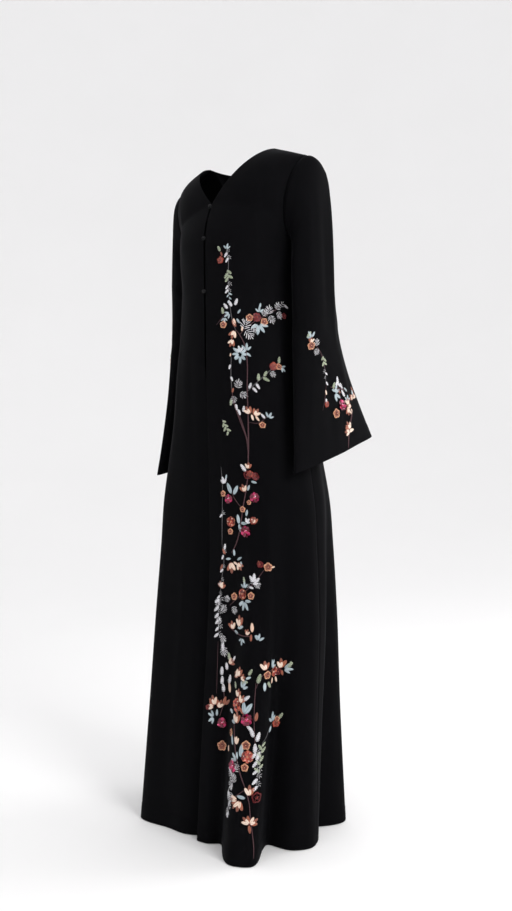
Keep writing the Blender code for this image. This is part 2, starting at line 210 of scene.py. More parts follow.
# Creases of a left sleeve, and those that its mirror image has instead.
LEFT_SLEEVE_CREASES = creases(
    ((206, 38, -70), (216, 52, -430), 8.5, 4.6),
    ((206, 12, -110), (216, 24, -400), 10, -3),
    ((200, -26, -130), (206, -16, -340), 9, 2.2),
    ((150, -36, -235), (190, -36, -170), 10, -3),
    ((145, -36, -290), (192, -34, -225), 9, 2.6),
    ((146, -34, -370), (196, -36, -420), 11, -3),
    ((150, -40, -430), (204, -34, -450), 10, 2.4),
    ((216, 60, -430), (224, 110, -620), 14, 3.6),
    ((216, 20, -460), (226, 30, -650), 15, -3),
    ((210, -16, -500), (214, -34, -680), 12, 2.6),
    ((150, 60, -300), (196, 80, -380), 12, 3),
    ((150, 70, -380), (200, 82, -340), 10, -2.8),
    ((160, 90, -470), (206, 110, -560), 13, -3),
)
RIGHT_SLEEVE_CREASES = creases(
    ((206, 34, -80), (216, 44, -390), 9, 4),
    ((207, 8, -120), (216, 14, -430), 10, -3),
    ((198, -30, -150), (204, -22, -360), 9, 2.6),
    ((150, -36, -225), (192, -36, -150), 11, -2.8),
    ((146, -36, -310), (192, -34, -260), 9, 2.8),
    ((146, -36, -390), (198, -36, -400), 10, -2.8),
    ((216, 74, -450), (222, 120, -600), 13, 3.4),
    ((216, 34, -480), (226, 50, -640), 14, -3.2),
    ((210, -10, -520), (212, -30, -670), 13, 2.8),
    ((150, 64, -320), (196, 82, -420), 12, 2.8),
    ((160, 86, -450), (206, 106, -540), 13, -3.2),
)


def through(rows: Sequence[Any], key: str, column: str, at: Array) -> Array:
    """A table's column on a smooth curve through its rows.

    Args:
        rows: the table, in order of its key.
        key: the field that places each row.
        column: the field that is wanted.
        at: where it is wanted, in the key's units.

    Returns:
        The column at each value of at.
    """
    keys = np.array([getattr(row, key) for row in rows], float)
    values = np.array([getattr(row, column) for row in rows], float)
    if keys[0] > keys[-1]:
        keys, values = keys[::-1], values[::-1]
    slopes = np.gradient(values, keys)
    at = np.clip(np.asarray(at, float), keys[0], keys[-1])
    low = np.clip(np.searchsorted(keys, at, side="right") - 1, 0, len(keys) - 2)
    width = keys[low + 1] - keys[low]
    t = (at - keys[low]) / width
    rise = 3 * t**2 - 2 * t**3
    leave = t**3 - 2 * t**2 + t
    arrive = t**3 - t**2
    flat = values[low] * (1 - rise) + values[low + 1] * rise
    return flat + width * (slopes[low] * leave + slopes[low + 1] * arrive)


def eased(value: Array, start: float, end: float) -> Array:
    """0 before start, 1 after end, with a soft change between them."""
    t = np.clip((value - start) / (end - start), 0, 1)
    return t * t * (3 - 2 * t)


def unit(vectors: Array) -> Array:
    """The vectors at length 1."""
    return vectors / np.maximum(np.linalg.norm(vectors, axis=-1, keepdims=True), 1e-12)


def lengths(points: Array, axis: int) -> Array:
    """How far each point lies from the first one, along the points between them.

    Args:
        points: a line's or a grid's points.
        axis: the axis to go along.

    Returns:
        The lengths.
    """
    first = np.take(points, [0], axis=axis)
    return np.cumsum(np.linalg.norm(np.diff(points, axis=axis, prepend=first), axis=-1), axis=axis)


def squares(index: Array) -> Array:
    """The four corners of each face of a grid, by the numbers of its points."""
    corners = (index[:-1, :-1], index[:-1, 1:], index[1:, 1:], index[1:, :-1])
    return np.stack(corners, axis=-1).reshape(-1, 4)


def toward(angle: float, reach: float) -> Spot:
    """How far across and how far up a place lies, at an angle from up in radians."""
    return reach * math.sin(angle), reach * math.cos(angle)


def relief(points: Array, creases: Sequence[Crease]) -> Array:
    """How far creases lift the cloth at each point, in metres.

    Args:
        points: points of the smooth cloth, any shape ending in 3.
        creases: the ridges and troughs.

    Returns:
        One height for each point.
    """
    lift = np.zeros(points.shape[:-1])
    for crease in creases:
        start, end = np.array(crease.start), np.array(crease.end)
        line = end - start
        share = np.clip((points - start) @ line / (line @ line), 0, 1)
        gap = np.linalg.norm(points - start - share[..., None] * line, axis=-1)
        swell = 0.35 + 0.65 * np.sin(math.pi * np.clip(share, 0.02, 0.98))
        lift = lift + crease.depth * swell * np.exp(-((gap / crease.width) ** 2))
    return lift


def surface_normals(points: Array, around: bool) -> Array:
    """Unit normals of a grid of points, by its rows and columns.

    Args:
        points: rows by columns by 3.
        around: whether the columns close into a ring.

    Returns:
        One normal for each point, outward where columns run from the wearer's right to the left.
    """
    if around:
        across = np.roll(points, -1, axis=1) - np.roll(points, 1, axis=1)
    else:
        across = np.gradient(points, axis=1)
    return unit(np.cross(across, np.gradient(points, axis=0)))


class Ground:
    """A surface that sprays are laid on, by two coordinates of its own."""

    STEP: Spot = (0.4, 0.0008)
    DOWN: float = -1.0

    def at(self, u: Array, v: Array) -> Array:
        """The cloth's outer face at each pair of coordinates."""
        raise NotImplementedError

    def facing(self, u: Array, v: Array) -> Array:
        """The outward unit normal at each pair of coordinates."""
        du, dv = self.STEP
        across = self.at(u + du, v) - self.at(u - du, v)
        up = (self.at(u, v + dv) - self.at(u, v - dv)) * -self.DOWN
        return unit(np.cross(across, up)) * self.outward()

    def outward(self) -> float:
        """1 where across and up already give the outward side, or -1."""
        return 1.0

    def rates(self, u: Array, v: Array) -> tuple[Array, Array]:
        """Metres of cloth for each unit of the two coordinates.

        Args:
            u: first coordinates.
            v: second coordinates.

        Returns:
            The rates along u and along v.
        """
        du, dv = self.STEP
        along_u = np.linalg.norm(self.at(u + du, v) - self.at(u - du, v), axis=-1) / (2 * du)
        along_v = np.linalg.norm(self.at(u, v + dv) - self.at(u, v - dv), axis=-1) / (2 * dv)
        return along_u, along_v


@dataclass
class Skirt(Ground):
    """The robe below the armholes: u is the bearing in degrees, v the height."""

    squareness: float = 0.045

    def at(self, u: Array, v: Array) -> Array:
        """The robe's outer face at each bearing and height, folds and creases included."""
        bearing, height = np.broadcast_arrays(np.asarray(u, float), np.asarray(v, float))
        turn = np.radians(bearing)
        side = through(SECTIONS, "height", "side", height)
        reach = np.where(
            np.cos(turn) > 0,
            through(SECTIONS, "height", "front", height) + side,
            through(SECTIONS, "height", "back", height) - side,
        )
        swell = 1 + self.squareness * np.sin(2 * turn) ** 2
        x = through(SECTIONS, "height", "half_width", height) * np.sin(turn) * swell
        y = side - reach * np.cos(turn) * swell
        length = np.hypot(x, y - side)
        away = np.stack([x / length, (y - side) / length, 0 * x], axis=-1)
        smooth = np.stack([x, y, height], axis=-1) + self.fold_reach(bearing, height)[..., None] * away
        return smooth + (relief(smooth, ROBE_CREASES) + self.ripple(bearing, height))[..., None] * away

    def fold_reach(self, bearing: Array, height: Array) -> Array:
        """How far the large folds push the cloth out at each bearing and height."""
        out = np.zeros(bearing.shape)
        for fold in FOLDS:
            grown = np.clip((fold.start - height) / (fold.start - HEM), 0, 1)
            centre = fold.bearing + fold.drift * (1 - grown)
            away = ((bearing - centre + 180) % 360 - 180) / fold.spread
            out = out + fold.reach * grown**1.25 * np.exp(-(np.abs(away) ** fold.crispness))
        return out

    def ripple(self, bearing: Array, height: Array) -> Array:
        """Slow unevenness of hanging crepe, under a millimetre."""
        turn = np.radians(bearing)
        wander = 1.3 * np.sin(2.1 * height + 0.7) + 0.6 * np.sin(5.3 * height)
        slow = np.sin(9 * turn + 2.2 * wander) + 0.6 * np.sin(17 * turn - 3.1 * wander + 1.0)
        return 0.00055 * slow * eased(-height, 0.25, 0.60)


@dataclass
class Sleeve(Ground):
    """A sleeve: u is the turn in degrees, 0 on top and 90 in front, v the run from armhole to cuff."""

    side: float
    creases: Sequence[Crease]
    STEP: Spot = (0.8, 0.0015)
    DOWN: float = 1.0

    def at(self, u: Array, v: Array) -> Array:
        """The sleeve's outer face at each turn and run, creases included."""
        degrees, run = np.broadcast_arrays(np.asarray(u, float), np.asarray(v, float))
        turn = np.radians(degrees)
        ring = {name: through(RINGS, "run", name, run) for name in RING_COLUMNS}
        up, forward = np.cos(turn), np.sin(turn)
        half_x = (ring["outer_x"] - ring["inner_x"]) / 2
        half_z = (ring["outer_z"] - ring["inner_z"]) / 2
        depth = np.where(forward > 0, ring["front"], ring["back"])
        x = ring["inner_x"] + half_x * (1 + up) - ring["scoop"] * forward**2 - ring["toe"] * forward
        y = ring["middle"] - depth * forward
        z = ring["inner_z"] + half_z * (1 + up) - ring["slant"] * forward
        smooth = np.stack([x, y, z], axis=-1)
        away = unit(np.stack([half_x * up * 2.2, -depth * forward, half_z * up * 0.3], axis=-1))
        fade = eased(run, 0.0, 0.08)
        wave = 0.0016 * eased(run, 0.70, 1.0) * np.sin(5 * turn + 0.8 * self.side)
        lift = fade * relief(smooth, self.creases) + wave
        return (smooth + lift[..., None] * away) * [self.side, 1, 1]

    def outward(self) -> float:
        """Across and up turn over on the mirrored sleeve."""
        return -self.side


# --------------------------------------
# Materials
# --------------------------------------


class Value:
    """A number's socket, with the arithmetic that the finishes use."""

    def __init__(self, nodes: "Nodes", socket: bpy.types.NodeSocket) -> None:
        """Wraps a socket of the given node tree."""
        self.nodes = nodes
        self.socket = socket

    def _math(self, operation: str, first: Any, second: Any) -> "Value":
        """A Math node's result on two sockets or numbers."""
        made = self.nodes.add("ShaderNodeMath", {"operation": operation}, {0: first, 1: second})
        return Value(self.nodes, made.outputs[0])

    def __add__(self, other: Any) -> "Value":
        """The sum."""
        return self._math("ADD", self, other)

    __radd__ = __add__

    def __sub__(self, other: Any) -> "Value":
        """The difference."""
        return self._math("SUBTRACT", self, other)

    def __rsub__(self, other: Any) -> "Value":
        """The difference from a number."""
        return self._math("SUBTRACT", other, self)

    def __mul__(self, other: Any) -> "Value":
        """The product."""
        return self._math("MULTIPLY", self, other)

    __rmul__ = __mul__


class Nodes:
    """The node tree of one material."""

    def __init__(self, name: str) -> None:
        """Starts a material with an empty tree."""
        self.material = bpy.data.materials.new(name)
        self.material.use_nodes = True
        self.tree = self.material.node_tree
        self.tree.nodes.clear()

    def add(self, kind: str, settings: dict[str, Any], values: dict[Any, Any]) -> bpy.types.Node:
        """Adds a node.

        Args:
            kind: the node's type.
            settings: its own properties, set first.
            values: a number, colour, socket or Value for each input, by name or place.

        Returns:
            The node.
        """
        made = self.tree.nodes.new(kind)
        for name, setting in settings.items():
            setattr(made, name, setting)
        for name, value in values.items():
            if isinstance(value, Value):
                value = value.socket
            if isinstance(value, bpy.types.NodeSocket):
                self.tree.links.new(value, made.inputs[name])
            else:
                made.inputs[name].default_value = value
        return made

    def number(self, kind: str, settings: dict[str, Any], values: dict[Any, Any], output: Any = 0) -> Value:
        """Adds a node and gives its output as a number."""
        return Value(self, self.add(kind, settings, values).outputs[output])

    def mix(self, factor: Any, first: Any, second: Any) -> bpy.types.NodeSocket:
        """A colour between two colours."""
        made = self.add("ShaderNodeMix", {"data_type": "RGBA"}, {0: factor, 6: first, 7: second})
        return made.outputs[2]

    def finish(self, values: dict[Any, Any]) -> bpy.types.Material:
        """Ends the tree in a Principled shader.

        Args:
            values: the shader's inputs.

        Returns:
            The material.
        """
        shader = self.add("ShaderNodeBsdfPrincipled", {}, values)
        self.add("ShaderNodeOutputMaterial", {}, {"Surface": shader.outputs[0]})
        return self.material


def colour(red: float, green: float, blue: float) -> tuple[float, float, float, float]:
    """A linear colour with full alpha."""
    return (red, green, blue, 1.0)


@dataclass(frozen=True)
class Crepe:
    """Matte black crepe: fine pebbled grain, a faint bloom where it is seen edge-on."""

    name: str = "black_crepe"
    deep: tuple = colour(0.0012, 0.0012, 0.0016)
    worn: tuple = colour(0.0027, 0.0026, 0.0033)
    grain: float = 1500.0
    mottle: float = 26.0

    def material(self) -> bpy.types.Material:
        """Builds the material."""
        nodes = Nodes(self.name)
        uv = nodes.add("ShaderNodeUVMap", {"uv_map": "cut"}, {}).outputs[0]
        pebble = nodes.number(
            "ShaderNodeTexNoise", {}, {"Vector": uv, "Scale": self.grain, "Detail": 2.0, "Roughness": 0.55}
        )
        cloud = nodes.number("ShaderNodeTexNoise", {}, {"Vector": uv, "Scale": self.mottle, "Detail": 3.0})
        threads = {"Vector": uv, "Scale": (3200.0, 700.0, 1.0)}
        stretched = nodes.add("ShaderNodeMapping", {}, threads).outputs[0]
        thread = nodes.number("ShaderNodeTexNoise", {}, {"Vector": stretched, "Scale": 1.0, "Detail": 1.0})
        grain = pebble * 0.7 + thread * 0.3
        shade = nodes.mix(cloud * 0.6 + grain * 0.4, self.deep, self.worn)
        bump = nodes.add("ShaderNodeBump", {}, {"Strength": 0.35, "Distance": 0.00022, "Height": grain})
        return nodes.finish(
            {
                "Base Color": shade,
                "Roughness": 0.70 + grain * 0.14,
                "Normal": bump.outputs[0],
                "Specular IOR Level": 0.035,
                "Sheen Weight": 0.016,
                "Sheen Roughness": 0.35,
                "Sheen Tint": colour(0.86, 0.88, 1.0),
            }
        )


@dataclass(frozen=True)
class Thread:
    """Embroidery thread laid in satin stitch: stripes of single stitches, each motif a shade of its own, with
    painted shade in the grooves of its leaves and petals.
    """

    name: str
    light: tuple
    dark: tuple
    shine: float = 0.36
    stitches: float = 26.0

    def material(self) -> bpy.types.Material:
        """Builds the material."""
        nodes = Nodes(self.name)
        uv = nodes.add("ShaderNodeUVMap", {"uv_map": "stitch"}, {}).outputs[0]
        # The tone attribute is each copy's own shade of the finish, darkened by the painted groove shade of its
        # stamp.
        tone = nodes.number("ShaderNodeAttribute", {"attribute_name": "tone"}, {}, "Fac")
        stitches = {"Vector": uv, "Scale": (self.stitches, 5.0, 1.0)}
        turned = nodes.add("ShaderNodeMapping", {}, stitches).outputs[0]
        stripe = nodes.number("ShaderNodeTexWave", {}, {"Vector": turned, "Scale": 0.32, "Distortion": 0.8})
        frayed = nodes.number("ShaderNodeTexNoise", {}, {"Vector": turned, "Scale": 1.6, "Detail": 2.0})
        mixed = tone * 0.90 + stripe * 0.20 + frayed * 0.16 - 0.14
        bump = nodes.add("ShaderNodeBump", {}, {"Strength": 0.6, "Distance": 0.0002, "Height": stripe})
        return nodes.finish(
            {
                "Base Color": nodes.mix(mixed, self.dark, self.light),
                "Roughness": self.shine + frayed * 0.15,
                "Normal": bump.outputs[0],
                "Specular IOR Level": 0.65,
                "Sheen Weight": 0.15,
            }
        )


@dataclass(frozen=True)
class Glass:
    """Lined glass beads and cut stones: coloured, glossy, a little metallic from their lining."""

    name: str
    light: tuple
    dark: tuple
    lining: float = 0.25
    shine: float = 0.16

    def material(self) -> bpy.types.Material:
        """Builds the material."""
        nodes = Nodes(self.name)
        # The tone attribute is each copy's own shade of the finish; on the jewels' sequins its lightest value is
        # a painted glint.
        tone = nodes.number("ShaderNodeAttribute", {"attribute_name": "tone"}, {}, "Fac")
        place = nodes.add("ShaderNodeTexCoord", {}, {}).outputs["Object"]
        cloud = nodes.number("ShaderNodeTexNoise", {}, {"Vector": place, "Scale": 900.0, "Detail": 1.0})
        return nodes.finish(
            {
                "Base Color": nodes.mix(tone * 0.95 + cloud * 0.4 - 0.17, self.dark, self.light),
                "Roughness": self.shine + cloud * 0.14,
                "Metallic": self.lining,
                "Coat Weight": 0.4,
                "Coat Roughness": 0.08,
            }
        )


@dataclass(frozen=True)
class Cordage:
    """Twisted cord and covered fastenings."""

    name: str
    light: tuple
    dark: tuple
    rough: float = 0.55

    def material(self) -> bpy.types.Material:
        """Builds the material."""
        nodes = Nodes(self.name)
        place = nodes.add("ShaderNodeTexCoord", {}, {}).outputs["Object"]
        fibre = nodes.number("ShaderNodeTexNoise", {}, {"Vector": place, "Scale": 1100.0, "Detail": 2.0})
        bump = nodes.add("ShaderNodeBump", {}, {"Strength": 0.4, "Distance": 0.0002, "Height": fibre})
        return nodes.finish(
            {
                "Base Color": nodes.mix(fibre, self.dark, self.light),
                "Roughness": self.rough + fibre * 0.2,
                "Normal": bump.outputs[0],
                "Specular IOR Level": 0.20,
                "Sheen Weight": 0.03,
            }
        )


class Finish(Enum):
    """What each part of a spray is stitched with."""

    ICE = Thread("ice_satin", colour(0.54, 0.63, 0.67), colour(0.13, 0.19, 0.22))
    SILVER = Glass("silver_bugles", colour(0.88, 0.87, 0.90), colour(0.46, 0.45, 0.48), 0.12, 0.26)
    SAGE = Thread("sage_satin", colour(0.55, 0.60, 0.45), colour(0.16, 0.21, 0.11))
    CREAM = Thread("cream_satin", colour(0.94, 0.82, 0.71), colour(0.58, 0.30, 0.17))
    COPPER = Thread("copper_satin", colour(0.40, 0.105, 0.042), colour(0.10, 0.018, 0.008))
    PEACH = Glass("peach_beads", colour(0.93, 0.52, 0.31), colour(0.36, 0.070, 0.024), 0.15, 0.20)
    CORAL = Glass("coral_beads", colour(0.66, 0.12, 0.070), colour(0.15, 0.006, 0.006), 0.20, 0.18)
    RUBY = Glass("ruby_paillettes", colour(0.22, 0.010, 0.014), colour(0.035, 0.001, 0.002), 0.35, 0.26)
    MAGENTA = Glass("magenta_stones", colour(0.48, 0.014, 0.105), colour(0.12, 0.001, 0.020), 0.30, 0.12)
    PLUM = Cordage("plum_cord", colour(0.130, 0.062, 0.070), colour(0.022, 0.008, 0.011))
    SMOKE = Cordage("smoke_cord", colour(0.22, 0.21, 0.22), colour(0.05, 0.046, 0.05))


# --------------------------------------
# Cloth shells
# --------------------------------------


def settle(piece: bpy.types.Object) -> bpy.types.Object:
    """Rides a finished piece on the robe and logs how many triangles it has."""
    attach(piece, BODY)
    triangles = sum(len(face.vertices) - 2 for face in piece.data.polygons)
    log.info("%s: %d triangles", piece.name, triangles)
    return piece


def shares(count: int, near: Sequence[float] = (), far: Sequence[float] = ()) -> Array:
    """Even steps from 0 to 1, with extra ones close to either end.

    Args:
        count: the number of even spans.
        near: extra places, from 0 up.
        far: extra places, from 1 down.

    Returns:
        The places in order.
    """
    extra = list(near) + [1 - place for place in far]
    return np.array(sorted(set(np.round(np.linspace(0, 1, count + 1), 9)) | set(np.round(extra, 9))))


@dataclass
class Cloth:
    """The robe's panels and sleeves as thin shells."""

    skirt: Skirt
    sleeves: dict[str, Sleeve]
    wall: float = 0.0012
    seam_gap: float = 0.0003
    neck_half_width: float = 0.095
    neck_drop: float = 0.1245
    neck_reach: float = 0.1006
    back_neck_drop: float = 0.014
    back_neck_reach: float = 0.062
    shoulder_end: Point = (0.180, 0.006, -0.036)
    v_share: float = 6 / 9
    edge_x: float = 0.0022
    lap_start: float = -0.455
    lap_width: float = 0.026
    lap_tuck: float = 0.042
    lap_spread: float = 16.0
    lap_clear: float = 0.0045
    hem_turn: float = 0.030
    hem_rise: float = 0.00045
    seam_dip: float = 0.0009
    seam_swell: float = 0.00035
    edge_round: float = 0.0005
    front_columns: int = 84
    back_columns: int = 64
    yoke_rows: int = 45
    skirt_rows: int = 132
    sleeve_columns: int = 84
    sleeve_rows: int = 104

    def heights(self) -> Array:
        """The heights of the skirt's rows, with closer ones where the hem is turned up."""
        low = HEM + np.array([0.0006, 0.0016, 0.0040, self.hem_turn - 0.0012, self.hem_turn + 0.0012])
        rows = np.linspace(ARM_LEVEL, HEM, self.skirt_rows + 1)[1:]
        return np.array(sorted(set(np.round(rows, 6)) | set(np.round(low, 6)), reverse=True))

    def neckline(self, share: Array) -> Array:
        """The V neckline and then the front edge, down to the armholes' level."""
        t = np.clip(share / self.v_share, 0, 1)
        below = np.clip((share - self.v_share) / (1 - self.v_share), 0, 1)
        x = self.edge_x + (self.neck_half_width - self.edge_x) * (1 - t**1.6)
        y = -self.neck_reach * np.sin(math.pi / 2 * t**0.95)
        z = -self.neck_drop * t**1.42
        y = y - (SECTIONS[0].front - self.neck_reach) * np.sin(math.pi / 2 * below)
        return np.stack([x, y, z + (ARM_LEVEL + self.neck_drop) * below], axis=-1)

    def shoulder_seam(self, share: Array) -> Array:
        """The left shoulder seam, from the neck to the armhole."""
        share = np.asarray(share)[..., None]
        return np.array([self.neck_half_width, 0, 0]) * (1 - share) + np.array(self.shoulder_end) * share

    def back_top(self, across: Array) -> Array:
        """The back neckline from the centre back, and then the shoulder seam."""
        turn = math.pi / 2 * np.clip(across * 2, 0, 1)
        neck = np.stack(
            [
                self.neck_half_width * np.sin(turn),
                self.back_neck_reach * np.cos(turn),
                -self.back_neck_drop * np.cos(turn) ** 2,
            ],
            axis=-1,
        )
        return np.where((across <= 0.5)[:, None], neck, self.shoulder_seam(across * 2 - 1))

    def back_centre(self, share: Array) -> Array:
        """The centre back from the neckline down to the armholes' level."""
        turn = math.pi / 2 * share
        y = self.back_neck_reach + (SECTIONS[0].back - self.back_neck_reach) * np.sin(turn)
        z = -self.back_neck_drop + (ARM_LEVEL + self.back_neck_drop) * (1 - np.cos(turn)) ** 0.8
        return np.stack([0 * share, y, z], axis=-1)

    def armhole(self, turn: Array) -> Array:
        """A point of the left armhole, by the sleeve's turn."""
        return self.sleeves["left"].at(turn, 0.0)

    def patch(self, top: Array, bottom: Array, near: Array, far: Array, across: Array, down: Array) -> Array:
        """Points between four seams.

        Args:
            top: the seam above, from near to far.
            bottom: the one below, from near to far.
            near: the side nearer the robe's middle, from top to bottom.
            far: the outer side, from top to bottom.
            across: each column's place between near and far.
            down: each row's place between top and bottom.

        Returns:
            A grid that meets all four seams.
        """
        s, t = across[None, :, None], down[:, None, None]
        ruled = top[None] * (1 - t) + bottom[None] * t + near[:, None] * (1 - s) + far[:, None] * s
        corners = (top[0] * (1 - s) + top[-1] * s) * (1 - t) + (bottom[0] * (1 - s) + bottom[-1] * s) * t
        return ruled - corners

    def front_row(self, side: float, share: Array, height: Array) -> Array:
        """Level rows of a front, from its edge to the side seam, seen as the wearer's left."""
        height = np.asarray(height, float)[:, None]
        share = share[None, :]
        lap = eased(-height, -self.lap_start, -HEM) if side < 0 else 0 * height
        sink = self.lap_clear * eased(-height, -self.lap_start, -self.lap_start + 0.07) * (side < 0)
        edge_x = self.edge_x - (self.edge_x + self.lap_width) * lap
        edge = np.degrees(np.arctan2(edge_x, through(SECTIONS, "height", "front", height)))
        bearing = edge + (90 - edge) * share
        rows = self.skirt.at(side * bearing, height + 0 * share) * [side, 1, 1]
        rows[..., 1] += (sink + self.lap_tuck * lap) * np.exp(-(((bearing - edge) / self.lap_spread) ** 2))
        rows[:, 0, 0] = edge_x[:, 0]
        return rows

    def front_grid(self, side: float) -> Array:
        """The grid of a front panel: rows down, columns outwards."""
        across = shares(self.front_columns, near=(0.002, 0.006), far=(0.002, 0.006, 0.012))
        down = shares(self.yoke_rows, near=(0.003, 0.009, 0.018))
        bottom = self.front_row(side, across, np.array([ARM_LEVEL]))[0]
        yoke = self.patch(
            self.shoulder_seam(across), bottom, self.neckline(down), self.armhole(180 * down), across, down
        )
        smooth = yoke * [side, 1, 1]
        facing = surface_normals(yoke, False) * -1 * [side, 1, 1]
        yoke = smooth + (relief(smooth, ROBE_CREASES) * (down[:, None] < 1))[..., None] * facing
        skirt = self.front_row(side, across, self.heights()) * [side, 1, 1]
        return np.concatenate([yoke[:-1], bottom[None] * [side, 1, 1], skirt])

    def back_grid(self) -> Array:
        """The grid of the back panel: rows down, columns from the right side seam to the left."""
        across = shares(self.back_columns, far=(0.002, 0.006, 0.012))
        down = shares(self.yoke_rows, near=(0.003, 0.009, 0.018))
        rows = np.concatenate([[ARM_LEVEL], self.heights()])[:, None]
        halves = []
        for side in (-1, 1):
            skirt = self.skirt.at(side * (180 - 90 * across)[None, :], rows)
            bottom = skirt[0] * [side, 1, 1]
            top, centre = self.back_top(across), self.back_centre(down)
            yoke = self.patch(top, bottom, centre, self.armhole(-180 * down), across, down) * [side, 1, 1]
            facing = surface_normals(yoke, False) * side
            yoke = yoke + (relief(yoke, ROBE_CREASES) * (down[:, None] < 1))[..., None] * facing
            halves.append(np.concatenate([yoke[:-1], skirt]))
        right, left = halves
        return np.concatenate([right[:, :0:-1], left], axis=1)

    def shell(self, name: str, points: Array, facing: Array, around: bool, dips: Array) -> bpy.types.Object:
        """Makes a cloth shell with a wall from a grid.

        Args:
            name: the piece's name.
            points: rows by columns by 3.
            facing: outward unit normals.
            around: whether the columns close into a ring.
            dips: how far each point is moved along its normal, for seams and turned edges.

        Returns:
            The piece, with its wall applied.
        """
        points = points + dips[..., None] * facing
        rows, columns = points.shape[:2]
        index = np.arange(rows * columns).reshape(rows, columns)
        if around:
            index = np.concatenate([index, index[:, :1]], axis=1)
        quads = squares(index)
        corner = points.reshape(-1, 3)[quads]
        out = np.cross(corner[:, 1] - corner[:, 0], corner[:, 2] - corner[:, 0])
        if np.sum(out * facing.reshape(-1, 3)[quads[:, 0]]) < 0:
            quads = quads[:, ::-1]
        closed = np.concatenate([points, points[:, :1]], axis=1) if around else points
        along, fall = lengths(closed, 1), lengths(closed, 0)
        middle = along[:, along.shape[1] // 2][:, None]
        cut = np.stack([along - middle, -fall], axis=-1)
        corners = squares(np.arange(closed.shape[0] * closed.shape[1]).reshape(closed.shape[:2]))
        if quads[0, 0] != index[0, 0]:
            corners = corners[:, ::-1]
        data = bpy.data.meshes.new(name)
        data.from_pydata(points.reshape(-1, 3).tolist(), [], quads.tolist())
        layer = data.uv_layers.new(name="cut")
        layer.data.foreach_set("uv", cut.reshape(-1, 2)[corners].reshape(-1).astype(np.float32))
        data.shade_smooth()
        piece = bpy.data.objects.new(name, data)
        bpy.context.scene.collection.objects.link(piece)
        wall = piece.modifiers.new("wall", "SOLIDIFY")
        wall.thickness = self.wall
        wall.offset = -1.0
        wall.use_rim = True
        only(piece)
        bpy.ops.object.modifier_apply(modifier=wall.name)
        bpy.ops.object.shade_smooth_by_angle(angle=math.radians(50))
        return piece

    def edge_dips(self, points: Array, seams: Sequence[str], free: Sequence[str], around: bool) -> Array:
        """How far the cloth dips into its seams and rounds over at its turned edges.

        Args:
            points: the grid.
            seams: which borders are sewn: top, near or far.
            free: which are turned edges: bottom, near or a neckline at the top.
            around: whether the columns close into a ring.

        Returns:
            One offset along the normal for each point.
        """
        fall = lengths(points, 0)
        distance = {"top": fall, "bottom": fall[-1:] - fall}
        if not around:
            along = lengths(points, 1)
            distance["near"], distance["far"] = along, along[:, -1:] - along
        dips = np.zeros(points.shape[:2])
        for seam in seams:
            away = distance[seam]
            dips -= self.seam_dip * np.exp(-((away / 0.0016) ** 2)) - self.seam_swell * np.exp(
                -(((away - 0.006) / 0.003) ** 2)
            )
        for edge in free:
            away = distance[edge]
            dips -= self.edge_round * np.exp(-((away / 0.0007) ** 2))
            if edge == "bottom":
                dips += self.hem_rise * (1 - eased(away, self.hem_turn - 0.0015, self.hem_turn + 0.0005))
        return dips

    def build(self) -> dict[str, bpy.types.Object]:
        """Makes the five shells, finishes each in crepe, rides it on the robe and hides the solid it stands for.

        Returns:
            The shells by the name of the solid that each stands for.
        """
        crepe = Crepe().material()
        made = {}
        left, right, back = self.front_grid(1), self.front_grid(-1), self.back_grid()
        panels = {
            "front_left": (left, -surface_normals(left, False), ("top", "far"), ("near", "bottom")),
            "front_right": (right, surface_normals(right, False), ("top", "far"), ("near", "bottom")),
            "back": (back, surface_normals(back, False), ("top", "near", "far"), ("bottom",)),
        }
        for name, (points, facing, seams, free) in panels.items():
            points = self.drawn_in(points, seams, False)
            dips = self.edge_dips(points, seams, free, False)
            made[name] = self.shell(f"cloth_{name}", points, facing, False, dips)
        for name, sleeve in self.sleeves.items():
            turns = np.linspace(0, 360, self.sleeve_columns, endpoint=False)[None, :]
            runs = shares(self.sleeve_rows, near=(0.002, 0.006, 0.012), far=(0.002, 0.006, 0.058, 0.063))
            points = sleeve.at(turns, runs[:, None])
            facing = surface_normals(points, True) * sleeve.side
            points = self.drawn_in(points, ("top",), True)
            dips = self.edge_dips(points, ("top",), ("bottom",), True)
            made[f"sleeve_{name}"] = self.shell(f"cloth_sleeve_{name}", points, facing, True, dips)
        for name, piece in made.items():
            piece.data.materials.clear()
            piece.data.materials.append(crepe)
            settle(piece)
            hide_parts(name)
        return made

    def drawn_in(self, points: Array, seams: Sequence[str], around: bool) -> Array:
        """The grid with its sewn borders moved in by half the seam gap, along the cloth."""
        moved = points.copy()
        pairs = {"top": (0, 1, 0), "near": (0, 1, 1), "far": (-1, -2, 1)}
        for seam in seams:
            border, inside, axis = pairs[seam]
            at = np.take(points, border, axis=axis)
            step = unit(np.take(points, inside, axis=axis) - at) * self.seam_gap / 2
            if axis == 0:
                moved[border] += step
            else:
                moved[:, border] += step
        return moved


@dataclass(frozen=True)
class Cut:
    """A sheet's flat cut, estimated: its width, its length and its area of cloth."""

    width: float
    length: float
    area: float


# --------------------------------------
# Stamps: each motif's parts, modelled once
# --------------------------------------


def only(piece: bpy.types.Object) -> None:
    """Selects one object, and makes it the active one."""
    for other in bpy.context.selected_objects:
        other.select_set(False)
    piece.select_set(True)
    bpy.context.view_layer.objects.active = piece


def deselect_all() -> None:
    """Leaves nothing selected, so that an operator acts on the new primitive alone."""
    for other in bpy.context.selected_objects:
        other.select_set(False)


